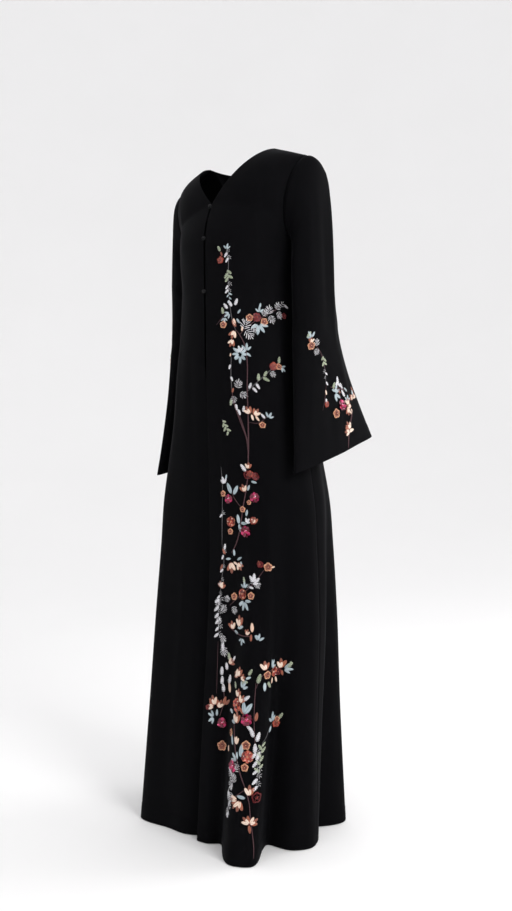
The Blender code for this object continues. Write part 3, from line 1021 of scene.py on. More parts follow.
@dataclass
class Stamp:
    """A small shape that is copied many times: points across, up and off the cloth, faces and a UV map.

    `shade` is painted shade: it darkens each point, low in the grooves where stitches meet, and 1 on what stands
    proud.
    """

    points: Array
    faces: list[tuple[int, ...]]
    uv: Array
    shade: Array

    @classmethod
    def taken_from(cls, piece: bpy.types.Object) -> "Stamp":
        """Reads a modelled object and removes it.

        Args:
            piece: the object, its place already in its mesh.

        Returns:
            The stamp.
        """
        points = np.array([tuple(vertex.co) for vertex in piece.data.vertices])
        faces = [tuple(face.vertices) for face in piece.data.polygons]
        bpy.data.objects.remove(piece, do_unlink=True)
        return cls(points, faces, points[:, :2].copy(), np.ones(len(points)))


class Stamps:
    """The stamps that the sprays use, in units of their own length or radius."""

    def __init__(self) -> None:
        """Models every stamp."""
        self.leaf = self.satin(rows=14, columns=6, plump=0.62)
        self.petal = self.satin(rows=10, columns=6, plump=0.46)
        self.bead = self.round_bead()
        self.bugle = self.bugle_bead()
        self.sequin = self.cupped_sequin()
        self.stone = self.cut_stone()

    def satin(self, rows: int, columns: int, plump: float) -> Stamp:
        """A leaf of satin stitch from (0, 0) to (0, 1): two crowned halves that meet in a groove.

        Args:
            rows: spans along the leaf, two to a stitch.
            columns: spans across it.
            plump: the power of its outline, lower for a blunter leaf.

        Returns:
            The stamp, half a unit to either side at its widest.
        """
        deselect_all()
        bpy.ops.mesh.primitive_grid_add(x_subdivisions=columns, y_subdivisions=rows, size=2.0)
        piece = bpy.context.active_object
        for vertex in piece.data.vertices:
            s, t = vertex.co.x, (vertex.co.y + 1) / 2
            half = 0.5 * max(math.sin(math.pi * t**0.86), 0.0) ** plump + 0.012
            crown = math.sin(math.pi * min(abs(s), 1.0) ** 0.8)
            ridge = 0.16 * (round(t * rows) % 2) * (1 - abs(abs(s) - 0.5))
            height = (0.35 + crown + ridge) * min(1.0, 7 * t * (1 - t)) if abs(s) < 0.999 else -0.35
            slanted = t + 0.10 * abs(s) * (1 - abs(s)) * math.sin(math.pi * t)
            vertex.co = (s * half, slanted, height)
        stamp = Stamp.taken_from(piece)
        across, along = stamp.points[:, 0], stamp.points[:, 1]
        stamp.uv = np.stack([along - 0.35 * np.abs(across), across], axis=-1)
        # Painted shade: the lower a point of the satin lies, the darker it is made, so grooves and edges look
        # shaded.
        stamp.shade = np.clip(0.18 + 0.66 * stamp.points[:, 2], 0.0, 1.0)
        return stamp

    def round_bead(self) -> Stamp:
        """A glass seed bead of radius 1, a little flattened, with its hole lying along the cloth."""
        deselect_all()
        bpy.ops.mesh.primitive_uv_sphere_add(segments=7, ring_count=5, radius=1.0)
        piece = bpy.context.active_object
        bpy.ops.object.mode_set(mode="EDIT")
        bpy.ops.mesh.select_all(action="SELECT")
        bpy.ops.transform.resize(value=(1.0, 1.0, 0.82), center_override=(0, 0, 0))
        bpy.ops.object.mode_set(mode="OBJECT")
        return Stamp.taken_from(piece)

    def bugle_bead(self) -> Stamp:
        """A bugle bead of length 1 along the second axis, from its foot at the origin."""
        deselect_all()
        bpy.ops.mesh.primitive_cylinder_add(vertices=6, radius=0.13, depth=0.86)
        piece = bpy.context.active_object
        bpy.ops.object.mode_set(mode="EDIT")
        bpy.ops.mesh.select_mode(type="FACE")
        bpy.ops.mesh.select_all(action="DESELECT")
        bpy.ops.object.mode_set(mode="OBJECT")
        for face in piece.data.polygons:
            face.select = abs(face.normal.z) > 0.9
        bpy.ops.object.mode_set(mode="EDIT")
        bpy.ops.mesh.extrude_region_shrink_fatten(TRANSFORM_OT_shrink_fatten={"value": 0.07})
        bpy.ops.transform.resize(value=(0.55, 0.55, 1.0), center_override=(0, 0, 0))
        bpy.ops.object.mode_set(mode="OBJECT")
        for vertex in piece.data.vertices:
            x, y, z = vertex.co
            vertex.co = (x, z + 0.5, y)
        return Stamp.taken_from(piece)

    def cupped_sequin(self) -> Stamp:
        """A cupped sequin of radius 1, its rim raised and its middle sunk."""
        deselect_all()
        bpy.ops.mesh.primitive_circle_add(vertices=10, radius=1.0, fill_type="NGON", location=(0, 0, 0.30))
        piece = bpy.context.active_object
        bpy.ops.object.transform_apply(location=True)
        bpy.ops.object.mode_set(mode="EDIT")
        bpy.ops.mesh.select_all(action="SELECT")
        bpy.ops.mesh.inset(thickness=0.50, depth=-0.22)
        bpy.ops.mesh.inset(thickness=0.32, depth=-0.10)
        bpy.ops.object.mode_set(mode="OBJECT")
        return Stamp.taken_from(piece)

    def cut_stone(self) -> Stamp:
        """A faceted stone of radius 1: a table, a crown of eight facets and a girdle."""
        deselect_all()
        bpy.ops.mesh.primitive_cylinder_add(vertices=8, radius=1.0, depth=0.5, location=(0, 0, 0.25))
        piece = bpy.context.active_object
        bpy.ops.object.transform_apply(location=True)
        bpy.ops.object.mode_set(mode="EDIT")
        bpy.ops.mesh.select_mode(type="FACE")
        bpy.ops.object.mode_set(mode="OBJECT")
        for face in piece.data.polygons:
            face.select = face.normal.z > 0.9
        bpy.ops.object.mode_set(mode="EDIT")
        bpy.ops.mesh.inset(thickness=0.36, depth=0.42)
        bpy.ops.object.mode_set(mode="OBJECT")
        return Stamp.taken_from(piece)


# --------------------------------------
# Sprays
# --------------------------------------

ON_CLOTH = 0.0002  # how far off the cloth a satin leaf or petal is laid
ON_STITCHES = 0.0006  # the same for a bugle bead or a sequin


class Motif(Enum):
    """The kinds of motif that are placed one by one."""

    LEAF = "leaf"
    FERN = "fern"
    OVAL = "oval"
    SPRIG = "sprig"
    TRIO = "trio"
    BUD = "bud"
    BLOSSOM = "blossom"
    ROSETTE = "rosette"
    JEWEL = "jewel"


# How large a kind of motif is drawn, as a share of the size in its row.
DRAWN = {Motif.FERN: 1.12, Motif.BUD: 0.80, Motif.BLOSSOM: 0.84, Motif.ROSETTE: 0.84, Motif.JEWEL: 0.90}


@dataclass(frozen=True)
class Place:
    """One motif: where it grows from on its ground, the way it points and its size in metres.

    `turn` is in degrees: 0 is up, 90 towards the wearer's left, 180 down.
    """

    kind: Motif
    finish: Finish
    u: float
    v: float
    turn: float
    size: float


@dataclass(frozen=True)
class Stem:
    """A couched stem through a few points of its ground, with leaves growing along it."""

    points: tuple[Spot, ...]
    thick: float = 0.0024
    finish: Finish = Finish.PLUM
    leaf: Finish | None = None
    leaf_size: float = 0.012
    spacing: float = 0.011
    span: Spot = (0.05, 1.0)


@dataclass
class Copies:
    """Where copies of stamps go, for one finish."""

    stamps: list[Stamp] = field(default_factory=list)
    spots: list[Spot] = field(default_factory=list)
    shapes: list[Array] = field(default_factory=list)
    tones: list[float] = field(default_factory=list)


class Embroidery:
    """Sprays on one ground, joined into one piece for each finish."""

    def __init__(self, name: str, ground: Ground, stamps: Stamps, seed: int) -> None:
        """Starts an empty ground.

        Args:
            name: what the pieces' names start with.
            ground: the surface.
            stamps: the modelled stamps.
            seed: of the small unevenness of hand work.
        """
        self.name = name
        self.ground = ground
        self.stamps = stamps
        self.random = np.random.default_rng(seed)
        self.copies: dict[Finish, Copies] = {}
        self.cords: dict[Finish, list[tuple[Array, list[tuple[int, ...]]]]] = {}

    def stamp(
        self,
        finish: Finish,
        stamp: Stamp,
        spot: Spot,
        offset: Spot,
        turn: float,
        scale: Point,
        lift: float = 0.0,
        tilt: Spot = (0.0, 0.0),
        tone: float | None = None,
    ) -> None:
        """Lays one copy of a stamp.

        Args:
            finish: what it is made of.
            stamp: the shape.
            spot: the motif's place on the ground.
            offset: metres across and up from it.
            turn: the way the stamp's second axis points, in degrees from up.
            scale: metres for each unit of the stamp, across, up and off the cloth.
            lift: metres off the cloth.
            tilt: slopes of the copy against the cloth.
            tone: 0 for the finish's darkest shade, 1 for its lightest.
        """
        angle = math.radians(turn)
        x, y, z = (stamp.points * scale).T
        shape = np.stack(
            [
                offset[0] + x * math.cos(angle) + y * math.sin(angle),
                offset[1] - x * math.sin(angle) + y * math.cos(angle),
                lift + z + tilt[0] * x + tilt[1] * y,
            ],
            axis=-1,
        )
        kept = self.copies.setdefault(finish, Copies())
        kept.stamps.append(stamp)
        kept.spots.append(spot)
        kept.shapes.append(shape)
        kept.tones.append(float(self.random.uniform(0.15, 1.0)) if tone is None else tone)

    def tone(self, low: float = 0.0, high: float = 1.0) -> float:
        """A shade between two, by chance."""
        return float(self.random.uniform(low, high))

    def bead(
        self, finish: Finish, spot: Spot, at: Spot, radius: float, lift: float, tone: float | None = None
    ) -> None:
        """Lays one round bead, so many metres across and up from its motif's place and off the cloth."""
        self.stamp(finish, self.stamps.bead, spot, at, 0, (radius,) * 3, lift=lift, tone=tone)

    def leaf(
        self, finish: Finish, spot: Spot, offset: Spot, turn: float, size: float, width: float = 0.40
    ) -> None:
        """One pointed satin leaf, or a beaded oval where the finish is glass or sage."""
        if isinstance(finish.value, Glass) or finish is Finish.SAGE:
            self.oval(finish, spot, offset, turn, size)
            return
        scale = (size * width, size, 0.00095)
        tone = self.tone(0.45, 1.0)
        self.stamp(finish, self.stamps.leaf, spot, offset, turn, scale, lift=ON_CLOTH, tone=tone)

    def oval(self, finish: Finish, spot: Spot, offset: Spot, turn: float, size: float) -> None:
        """An oval leaf: a dark satin ground inside a pale outline, with a vein of the same.

        Args:
            finish: of ground and outline.
            spot: the motif's place.
            offset: metres across and up from it to the leaf's foot.
            turn: the way the leaf points.
            size: its length.
        """
        angle = math.radians(turn)
        ground = (size * 0.38, size * 0.86, 0.0006)
        foot = (offset[0] + 0.07 * size * math.sin(angle), offset[1] + 0.07 * size * math.cos(angle))
        tone = self.tone(0.10, 0.45)
        self.stamp(finish, self.stamps.petal, spot, foot, turn, ground, lift=ON_CLOTH, tone=tone)
        count = max(9, round(size / 0.0013))
        for step in range(count):
            around = 2 * math.pi * step / count
            across = 0.20 * size * math.sin(around) * (1.0 - 0.25 * math.cos(around))
            along = size * (0.5 + 0.47 * math.cos(around))
            at = (
                offset[0] + across * math.cos(angle) + along * math.sin(angle),
                offset[1] - across * math.sin(angle) + along * math.cos(angle),
            )
            scale = (0.00068, 0.00120, 0.00075)
            lean = turn + math.degrees(around) + 90
            tone = self.tone(0.65, 1.0)
            self.stamp(finish, self.stamps.bead, spot, at, lean, scale, lift=0.0009, tone=tone)
        vein = (size * 0.085, size * 0.62, 0.0009)
        self.stamp(finish, self.stamps.petal, spot, foot, turn, vein, lift=0.0007, tone=1.0)

    def fern(self, finish: Finish, spot: Spot, offset: Spot, turn: float, size: float, bars: int = 4) -> None:
        """A leaf of bugle beads that fan out from a midrib, wide at its middle.

        Args:
            finish: what the bars are.
            spot: the motif's place.
            offset: metres across and up from it to the leaf's foot.
            turn: the way the leaf points.
            size: its length.
            bars: how many each side has.
        """
        angle = math.radians(turn)
        bugle = self.stamps.bugle
        for step in range(bars):
            share = step / bars
            reach = size * (0.30 + 0.22 * math.sin(math.pi * (0.15 + share)))
            foot = size * (0.10 + 0.62 * share)
            for side in (-1, 1):
                spread = side * (64 - 38 * share) + self.tone(-7, 7)
                side_step = side * 0.035 * size
                at = (
                    offset[0] + foot * math.sin(angle) + side_step * math.cos(angle),
                    offset[1] + foot * math.cos(angle) - side_step * math.sin(angle),
                )
                scale = (size * 0.215, reach, size * 0.19)
                tone = self.tone(0.25, 1.0)
                self.stamp(finish, bugle, spot, at, turn + spread, scale, lift=ON_STITCHES, tone=tone)
        tip = (offset[0] + size * 0.70 * math.sin(angle), offset[1] + size * 0.70 * math.cos(angle))
        scale = (size * 0.215, size * 0.34, size * 0.19)
        self.stamp(finish, bugle, spot, tip, turn, scale, lift=ON_STITCHES, tone=1.0)

    def sprig(self, finish: Finish, spot: Spot, turn: float, size: float, leaves: int, spread: float) -> None:
        """Slim leaves that share a foot, fanned round the way they point."""
        for place in np.linspace(-1, 1, leaves):
            reach = size * (1.0 - 0.16 * abs(place)) * self.tone(0.9, 1.1)
            lean = turn + place * spread + self.tone(-8, 8)
            start = 0.12 * size
            foot = toward(math.radians(lean), start)
            self.leaf(finish, spot, foot, lean, reach, width=0.38)

    def bud(self, finish: Finish, spot: Spot, turn: float, size: float) -> None:
        """A bud half open: two broad petals of the given finish behind, two cream ones in front."""
        flip = 1 if self.tone() > 0.5 else -1
        for lean, reach, shade in ((-26, 0.92, 0.95), (8, 1.04, 0.50)):
            scale = (size * 0.40, size * reach, 0.0010)
            way = turn + flip * lean
            self.stamp(finish, self.stamps.petal, spot, (0, 0), way, scale, lift=ON_CLOTH, tone=shade)
        for lean, reach in ((40, 0.86), (-4, 0.64)):
            scale = (size * 0.36, size * reach, 0.0013)
            at = (0.0008 * flip, 0)
            tone = self.tone(0.7, 1.0)
            way = turn + flip * lean
            self.stamp(Finish.CREAM, self.stamps.petal, spot, at, way, scale, lift=0.0009, tone=tone)
        self.bead(Finish.RUBY, spot, (0, 0), 0.0012, 0.0016)

    def rim(
        self,
        finish: Finish,
        spot: Spot,
        radius: float,
        lobes: int,
        bead: float,
        turn: float,
        light: float = 0.75,
    ) -> None:
        """Beads round a scalloped outline."""
        count = max(9, round(2 * math.pi * radius * 1.02 / (2.15 * bead)))
        for place in range(count):
            angle = 2 * math.pi * place / count
            reach = radius * (0.76 + 0.24 * abs(math.cos(lobes * (angle - math.radians(turn)) / 2)))
            at = toward(angle, reach)
            scale = (bead, bead, bead)
            tone = self.tone(light - 0.35, min(1.0, light + 0.25))
            self.stamp(finish, self.stamps.bead, spot, at, 0, scale, lift=bead * 0.8, tone=tone)

    def blossom(self, finish: Finish, spot: Spot, turn: float, size: float) -> None:
        """A round beaded blossom: copper petals under mixed beads, a bead rim and a ruby heart.

        Args:
            finish: of its beads.
            spot: where its middle is.
            turn: of the first petal.
            size: its diameter.
        """
        radius, lobes = size / 2, 5
        for lobe in range(lobes):
            lean = turn + 360 * lobe / lobes
            if finish is not Finish.RUBY:
                scale = (radius * 0.72, radius * 0.90, 0.0011)
                tone = self.tone(0.1, 0.9)
                petal = self.stamps.petal
                self.stamp(Finish.COPPER, petal, spot, (0, 0), lean, scale, lift=ON_CLOTH, tone=tone)
            for reach, side in ((0.48, 0), (0.72, -17), (0.72, 0), (0.72, 17)):
                if finish is Finish.PEACH and side == 0:
                    continue
                mixed = Finish.RUBY if finish is Finish.CORAL and self.tone() > 0.55 else finish
                angle = math.radians(lean + side)
                at = toward(angle, radius * reach)
                self.bead(mixed, spot, at, 0.00088, 0.0014, tone=self.tone())
        edge, light = (Finish.PEACH, 0.95) if finish is Finish.PEACH else (Finish.CORAL, 0.60)
        if finish is Finish.RUBY:
            edge, light = Finish.RUBY, 0.9
        self.rim(edge, spot, radius * 0.93, lobes, 0.00100, turn, light)
        for step in range(6):
            angle = 2 * math.pi * step / 6
            at = toward(angle, radius * 0.25)
            self.bead(Finish.RUBY, spot, at, 0.00115, 0.0019, tone=self.tone())
        centre = Finish.PEACH if finish is Finish.PEACH else Finish.CORAL
        self.bead(centre, spot, (0, 0), 0.0010, 0.0025, tone=1.0)

    def rosette(self, finish: Finish, spot: Spot, turn: float, size: float) -> None:
        """Two rings of sequins with beads between them. A coral one also has a rim and three petals."""
        radius = size / 2
        for ring, (count, reach, scale) in enumerate(((10, 0.72, 0.28), (6, 0.38, 0.27))):
            for step in range(count):
                lean = turn + 360 * (step + 0.5 * ring) / count
                angle = math.radians(lean)
                at = toward(angle, radius * reach)
                tilt = tuple(self.random.uniform(-0.5, 0.5, 2))
                shape = (radius * scale,) * 3
                mixed = Finish.RUBY if self.tone() > 0.62 else finish
                lift = ON_STITCHES + 0.0007 * ring
                self.stamp(mixed, self.stamps.sequin, spot, at, lean, shape, lift=lift, tilt=tilt)
                angle += math.pi / count
                at = toward(angle, radius * reach)
                self.bead(Finish.RUBY, spot, at, 0.0009, 0.0016)
        if finish is Finish.CORAL:
            self.rim(Finish.PEACH, spot, radius * 0.95, 6, 0.00095, turn, 0.20)
            for step in range(3):
                angle = math.radians(turn + 40 + 125 * step)
                at = toward(angle, radius * 0.62)
                scale = (0.0016, 0.0030, 0.0010)
                self.stamp(Finish.CREAM, self.stamps.petal, spot, at, turn + 90 * step, scale, lift=0.0022)
        heart = Finish.CORAL if finish is Finish.RUBY else Finish.PEACH
        for step in range(4):
            angle = 2 * math.pi * step / 4
            at = toward(angle, 0.0014)
            self.bead(heart, spot, at, 0.0009, 0.0024, tone=self.tone(0.2, 0.9))

    def jewel(self, finish: Finish, spot: Spot, turn: float, size: float) -> None:
        """A cut stone in a close rim of coral beads, among tilted sequins; every third sequin is a painted
        glint, and two silver beads on the stone are painted glints.
        """
        radius = size / 2
        for step in range(9):
            lean = turn + 40 * step
            angle = math.radians(lean)
            at = toward(angle, radius * 0.66)
            tilt = tuple(self.random.uniform(-0.5, 0.5, 2))
            shape = (radius * 0.33,) * 3
            # Painted glints: every third sequin takes the finish's lightest tone, the others its darkest.
            tone = float(step % 3 == 0)
            self.stamp(finish, self.stamps.sequin, spot, at, lean, shape, lift=ON_STITCHES, tilt=tilt, tone=tone)
        stone = (radius * 0.30, radius * 0.30, radius * 0.26)
        self.stamp(finish, self.stamps.stone, spot, (0, 0), turn, stone, lift=0.0010, tone=1.0)
        self.rim(Finish.CORAL, spot, radius * 0.40, 1, 0.00085, turn, 0.6)
        # Painted glints: two small silver beads on the stone stand in for its highlights.
        for at in ((0.0, 0.0004), (0.0026, 0.0020)):
            self.bead(Finish.SILVER, spot, at, 0.0008, 0.0034, tone=1.0)

    def put(self, place: Place) -> None:
        """Lays one motif from its table row."""
        spot, turn = (place.u, place.v), place.turn
        size = place.size * DRAWN.get(place.kind, 1.0)
        if place.kind is Motif.LEAF:
            self.leaf(place.finish, spot, (0, 0), turn, size)
        elif place.kind is Motif.OVAL:
            self.oval(place.finish, spot, (0, 0), turn, size)
        elif place.kind is Motif.FERN:
            self.fern(place.finish, spot, (0, 0), turn, size)
        elif place.kind is Motif.SPRIG:
            self.sprig(place.finish, spot, turn, size, leaves=3, spread=44)
        elif place.kind is Motif.TRIO:
            self.sprig(place.finish, spot, turn, size, leaves=4, spread=70)
        elif place.kind is Motif.BUD:
            self.bud(place.finish, spot, turn, size)
        elif place.kind is Motif.ROSETTE:
            self.rosette(place.finish, spot, turn, size)
        elif place.kind is Motif.JEWEL:
            self.jewel(place.finish, spot, turn, size)
        else:
            self.blossom(place.finish, spot, turn, size)

    def sampled(self, points: Sequence[Spot], step: float) -> tuple[Array, Array]:
        """A smooth line through a stem's points.

        Args:
            points: its points on the ground.
            step: metres between samples.

        Returns:
            The line's two coordinates at each sample.
        """
        knots = np.array(points, float)
        ends = [2 * knots[0] - knots[1], *knots, 2 * knots[-1] - knots[-2]]
        fine = []
        for a, b, c, d in zip(ends, ends[1:], ends[2:], ends[3:]):
            t = np.linspace(0, 1, 24, endpoint=False)[:, None]
            slope, bend, twist = c - a, 2 * a - 5 * b + 4 * c - d, 3 * b - a - 3 * c + d
            fine.append(0.5 * (2 * b + slope * t + bend * t**2 + twist * t**3))
        line = np.concatenate([*fine, knots[-1:]])
        placed = self.ground.at(line[:, 0], line[:, 1])
        run = lengths(placed, 0)
        even = np.linspace(0, run[-1], max(4, round(run[-1] / step)))
        return np.interp(even, run, line[:, 0]), np.interp(even, run, line[:, 1])

    def stem(self, stem: Stem) -> None:
        """Couches a stem of two twisted plies and lays the leaves along it."""
        lay = stem.thick * 2.2
        u, v = self.sampled(stem.points, lay / 6)
        centre, facing = self.ground.at(u, v), self.ground.facing(u, v)
        along = unit(np.gradient(centre, axis=0))
        beside = np.cross(along, facing)
        run = lengths(centre, 0)
        taper = 0.55 + 0.45 * np.minimum(1, np.minimum(run, run[-1] - run) / 0.02)
        ply = stem.thick * 0.25 * taper
        sides = 5
        for strand in (0, 1):
            turn = 2 * math.pi * run / lay + math.pi * strand
            aside, rise = np.cos(turn) * ply, np.sin(turn) * ply * 0.6 + ply * 0.9
            offset = beside * aside[:, None] + facing * rise[:, None]
            ring = np.linspace(0, 2 * math.pi, sides, endpoint=False)
            cosine, sine = np.cos(ring)[None, :, None], np.sin(ring)[None, :, None]
            round_it = beside[:, None] * cosine + facing[:, None] * sine
            points = (centre + offset)[:, None] + round_it * (ply * 1.05)[:, None, None]
            index = np.arange(len(u) * sides).reshape(len(u), sides)
            nxt = np.roll(index, -1, axis=1)
            quads = np.stack([index[:-1], nxt[:-1], nxt[1:], index[1:]], axis=-1).reshape(-1, 4)
            faces = [tuple(quad[::-1]) for quad in quads.tolist()]
            faces += [tuple(index[0].tolist()), tuple(index[-1][::-1].tolist())]
            self.cords.setdefault(stem.finish, []).append((points.reshape(-1, 3), faces))
        if stem.leaf is not None:
            self.leaves_along(stem, u, v, run)

    def leaves_along(self, stem: Stem, u: Array, v: Array, run: Array) -> None:
        """Leaves in uneven pairs along a stem. Those on the left of a silver one are small ferns."""
        rate_u, rate_v = self.ground.rates(u, v)
        across = np.gradient(u) * rate_u
        up = -np.gradient(v) * rate_v * self.ground.DOWN
        first, last = stem.span[0] * run[-1], stem.span[1] * run[-1]
        count = max(1, round((last - first) / stem.spacing))
        for step in range(count):
            for side in (-1, 1):
                uneven = float(self.random.uniform(-0.12, 0.12))
                here = first + (step + 0.5 + 0.22 * side + uneven) * stem.spacing
                k = int(np.clip(np.searchsorted(run, here), 0, len(run) - 1))
                heading = math.degrees(math.atan2(across[k], up[k]))
                lean = heading + side * float(self.random.uniform(34, 58))
                size = stem.leaf_size * float(self.random.uniform(0.80, 1.20))
                spot = (float(u[k]), float(v[k]))
                if stem.leaf is Finish.SILVER and side < 0:
                    self.fern(stem.leaf, spot, (0, 0), lean, size, bars=2)
                else:
                    self.leaf(stem.leaf, spot, (0, 0), lean, size)

    def joined(self) -> list[bpy.types.Object]:
        """Makes one piece for each finish.

        Returns:
            The pieces.
        """
        made = []
        for finish in Finish:
            points, faces, uv, tones = self.gather(finish)
            if points is None:
                continue
            name = f"{self.name}_{finish.name.lower()}"
            data = bpy.data.meshes.new(name)
            data.from_pydata(points.tolist(), [], faces)
            loops = np.zeros(len(data.loops), np.int32)
            data.loops.foreach_get("vertex_index", loops)
            layer = data.uv_layers.new(name="stitch")
            layer.data.foreach_set("uv", uv[loops].reshape(-1).astype(np.float32))
            data.attributes.new("tone", "FLOAT", "POINT").data.foreach_set("value", tones.astype(np.float32))
            data.shade_smooth()
            data.materials.append(self.dressed(finish))
            piece = bpy.data.objects.new(name, data)
            bpy.context.scene.collection.objects.link(piece)
            if finish in (Finish.MAGENTA, Finish.RUBY):
                only(piece)
                bpy.ops.object.shade_smooth_by_angle(angle=math.radians(24))
            made.append(settle(piece))
        return made

    def dressed(self, finish: Finish) -> bpy.types.Material:
        """The finish's material, made once for all grounds."""
        return bpy.data.materials.get(finish.value.name) or finish.value.material()

    def gather(self, finish: Finish) -> tuple[Array | None, list[tuple[int, ...]], Array, Array]:
        """All points, faces, UVs and tones of one finish, laid on the ground."""
        points, faces, uv, tones, start = [], [], [], [], 0
        kept = self.copies.get(finish)
        if kept:
            sizes = [len(shape) for shape in kept.shapes]
            centre_u = np.repeat([spot[0] for spot in kept.spots], sizes)
            centre_v = np.repeat([spot[1] for spot in kept.spots], sizes)
            spots = np.array(kept.spots)
            rate_u, rate_v = self.ground.rates(spots[:, 0], spots[:, 1])
            local = np.concatenate(kept.shapes)
            u = centre_u + local[:, 0] / np.repeat(rate_u, sizes)
            v = centre_v - self.ground.DOWN * local[:, 1] / np.repeat(rate_v, sizes)
            points.append(self.ground.at(u, v) + self.ground.facing(u, v) * local[:, 2:])
            for stamp, tone in zip(kept.stamps, kept.tones):
                faces += [tuple(start + corner for corner in face) for face in stamp.faces]
                start += len(stamp.points)
                uv.append(stamp.uv)
                # Each copy's tone is darkened by its stamp's painted groove shade.
                tones.append(tone * stamp.shade)
        for placed, rings in self.cords.get(finish, []):
            points.append(placed)
            faces += [tuple(start + corner for corner in face) for face in rings]
            start += len(placed)
            uv.append(np.zeros((len(placed), 2)))
            tones.append(np.full(len(placed), 0.5))
        if not points:
            return None, [], np.zeros(0), np.zeros(0)
        return np.concatenate(points), faces, np.concatenate(uv), np.concatenate(tones)


M, F = Motif, Finish


def alike(kind: Motif, finish: Finish, *rows: tuple[float, int, float, int]) -> tuple[Place, ...]:
    """Places of one kind of motif in one finish.

    Args:
        kind: of all of them.
        finish: of all of them.
        rows: each one's u, v in millimetres, turn and size in millimetres.

    Returns:
        The places.
    """
    return tuple(Place(kind, finish, u, v / 1000, turn, size / 1000) for u, v, turn, size in rows)


def stalk(
    points: Sequence[Spot],
    thick: float,
    finish: Finish = Finish.PLUM,
    leaf: Finish | None = None,
    leaf_size: float = 12,
    spacing: float = 11,
) -> Stem:
    """A stem from its points, as u and v in millimetres, and its sizes in millimetres."""
    line = tuple((u, v / 1000) for u, v in points)
    return Stem(line, thick / 1000, finish, leaf, leaf_size / 1000, spacing / 1000)


FRONT_STEMS = (
    stalk(((23, -230), (25, -262), (25, -300), (26, -345), (28, -385), (31, -410)), 1.4, F.SMOKE),
    stalk(((24, -280), (25, -300)), 1.2, F.SMOKE, F.SAGE, 11, 10),
    stalk(((25, -305), (25, -325)), 1.2, F.SMOKE, F.SILVER, 10, 10.5),
    stalk(((25, -326), (26, -345)), 1.2, F.SMOKE, F.ICE, 8, 10),
    stalk(((23, -236), (25, -262)), 1.2, F.SMOKE, F.SILVER, 9, 11.5),
    stalk(((22, -372), (18, -382), (13, -394)), 1.6),
    stalk(((31, -408), (34, -418), (38, -442), (39, -480), (37.5, -530), (36.5, -582)), 2.6),
    stalk(((36.5, -582), (34.5, -635), (32, -690)), 3.4),
    stalk(((32, -700), (29, -740), (26, -778), (24, -815), (21, -848), (17.5, -868)), 2.8),
    stalk(((17, -975), (21, -962), (26.5, -945), (33, -922), (38, -900)), 2),
    stalk(((16, -1014), (20, -1024), (25, -1031), (32, -1030)), 2.6),
    stalk(((13.5, -1120), (16, -1165), (13.5, -1200)), 2.2),
    stalk(((25, -1200), (26.5, -1240), (28.5, -1272), (31, -1298), (33, -1315)), 3),
    stalk(((33, -1315), (35, -1340), (36, -1367), (38, -1413), (38.5, -1440)), 2.4),
    stalk(((33, -1315), (30, -1325), (26, -1340)), 2),
    stalk(((34, -418), (42, -399), (52, -384), (62, -370), (71, -358)), 1.8),
    stalk(((71, -358), (78, -350)), 1.3, F.SMOKE, F.SILVER, 11, 17),
    stalk(((37.5, -536), (45, -519), (53, -502), (61, -485), (66, -474)), 1.6, F.SMOKE),
    stalk(((26, -462), (25, -500), (25, -535)), 1.4, F.SMOKE),
    stalk(((25, -535), (26, -560), (29, -590), (33, -632), (33, -665)), 2.6),
    stalk(((28, -572), (31, -600), (34, -640)), 2),
    stalk(((36, -600), (43, -602), (48, -595), (53, -584)), 1.6),
    stalk(((15, -592), (17.5, -606), (20, -622)), 1.2, F.SMOKE, F.SAGE, 9, 10),
    stalk(((18, -738), (21, -758), (26, -778)), 1.8),
    stalk(((11.5, -690), (12, -730), (11, -790), (10.5, -850)), 1.2, F.SMOKE),
    stalk(((11.5, -775), (11, -805)), 1.2, F.SMOKE, F.SILVER, 10, 20),
    stalk(((10.5, -850), (12, -885), (10.5, -925), (9.5, -960)), 1.3, F.SMOKE, F.SILVER, 9, 28),
    stalk(((9.5, -948), (9.0, -985), (9.5, -1035)), 1.3, F.SMOKE, F.SILVER, 13, 15),
    stalk(((9.5, -1050), (10, -1100), (10.5, -1155)), 1.2, F.PLUM),
    stalk(((28, -940), (33, -922)), 1.2, F.SMOKE, F.SILVER, 10, 11),
    stalk(((35, -1118), (35, -1160), (35.5, -1200), (36.5, -1235)), 2),
    stalk(((36.5, -1235), (38, -1270), (38.5, -1310)), 1.4, F.SMOKE, F.SILVER, 12, 15),
    stalk(((35, -1130), (37.5, -1108), (41, -1098), (48, -1096), (56, -1098)), 1.8),
    stalk(((39, -1290), (39.5, -1262), (40.5, -1230)), 1.4, F.SMOKE, F.SAGE, 11, 14),
    stalk(((40.5, -1230), (45, -1220), (51, -1207)), 1.4, F.SMOKE),
    stalk(((6, -1165), (7, -1190), (8, -1215)), 1.2, F.SMOKE),
)

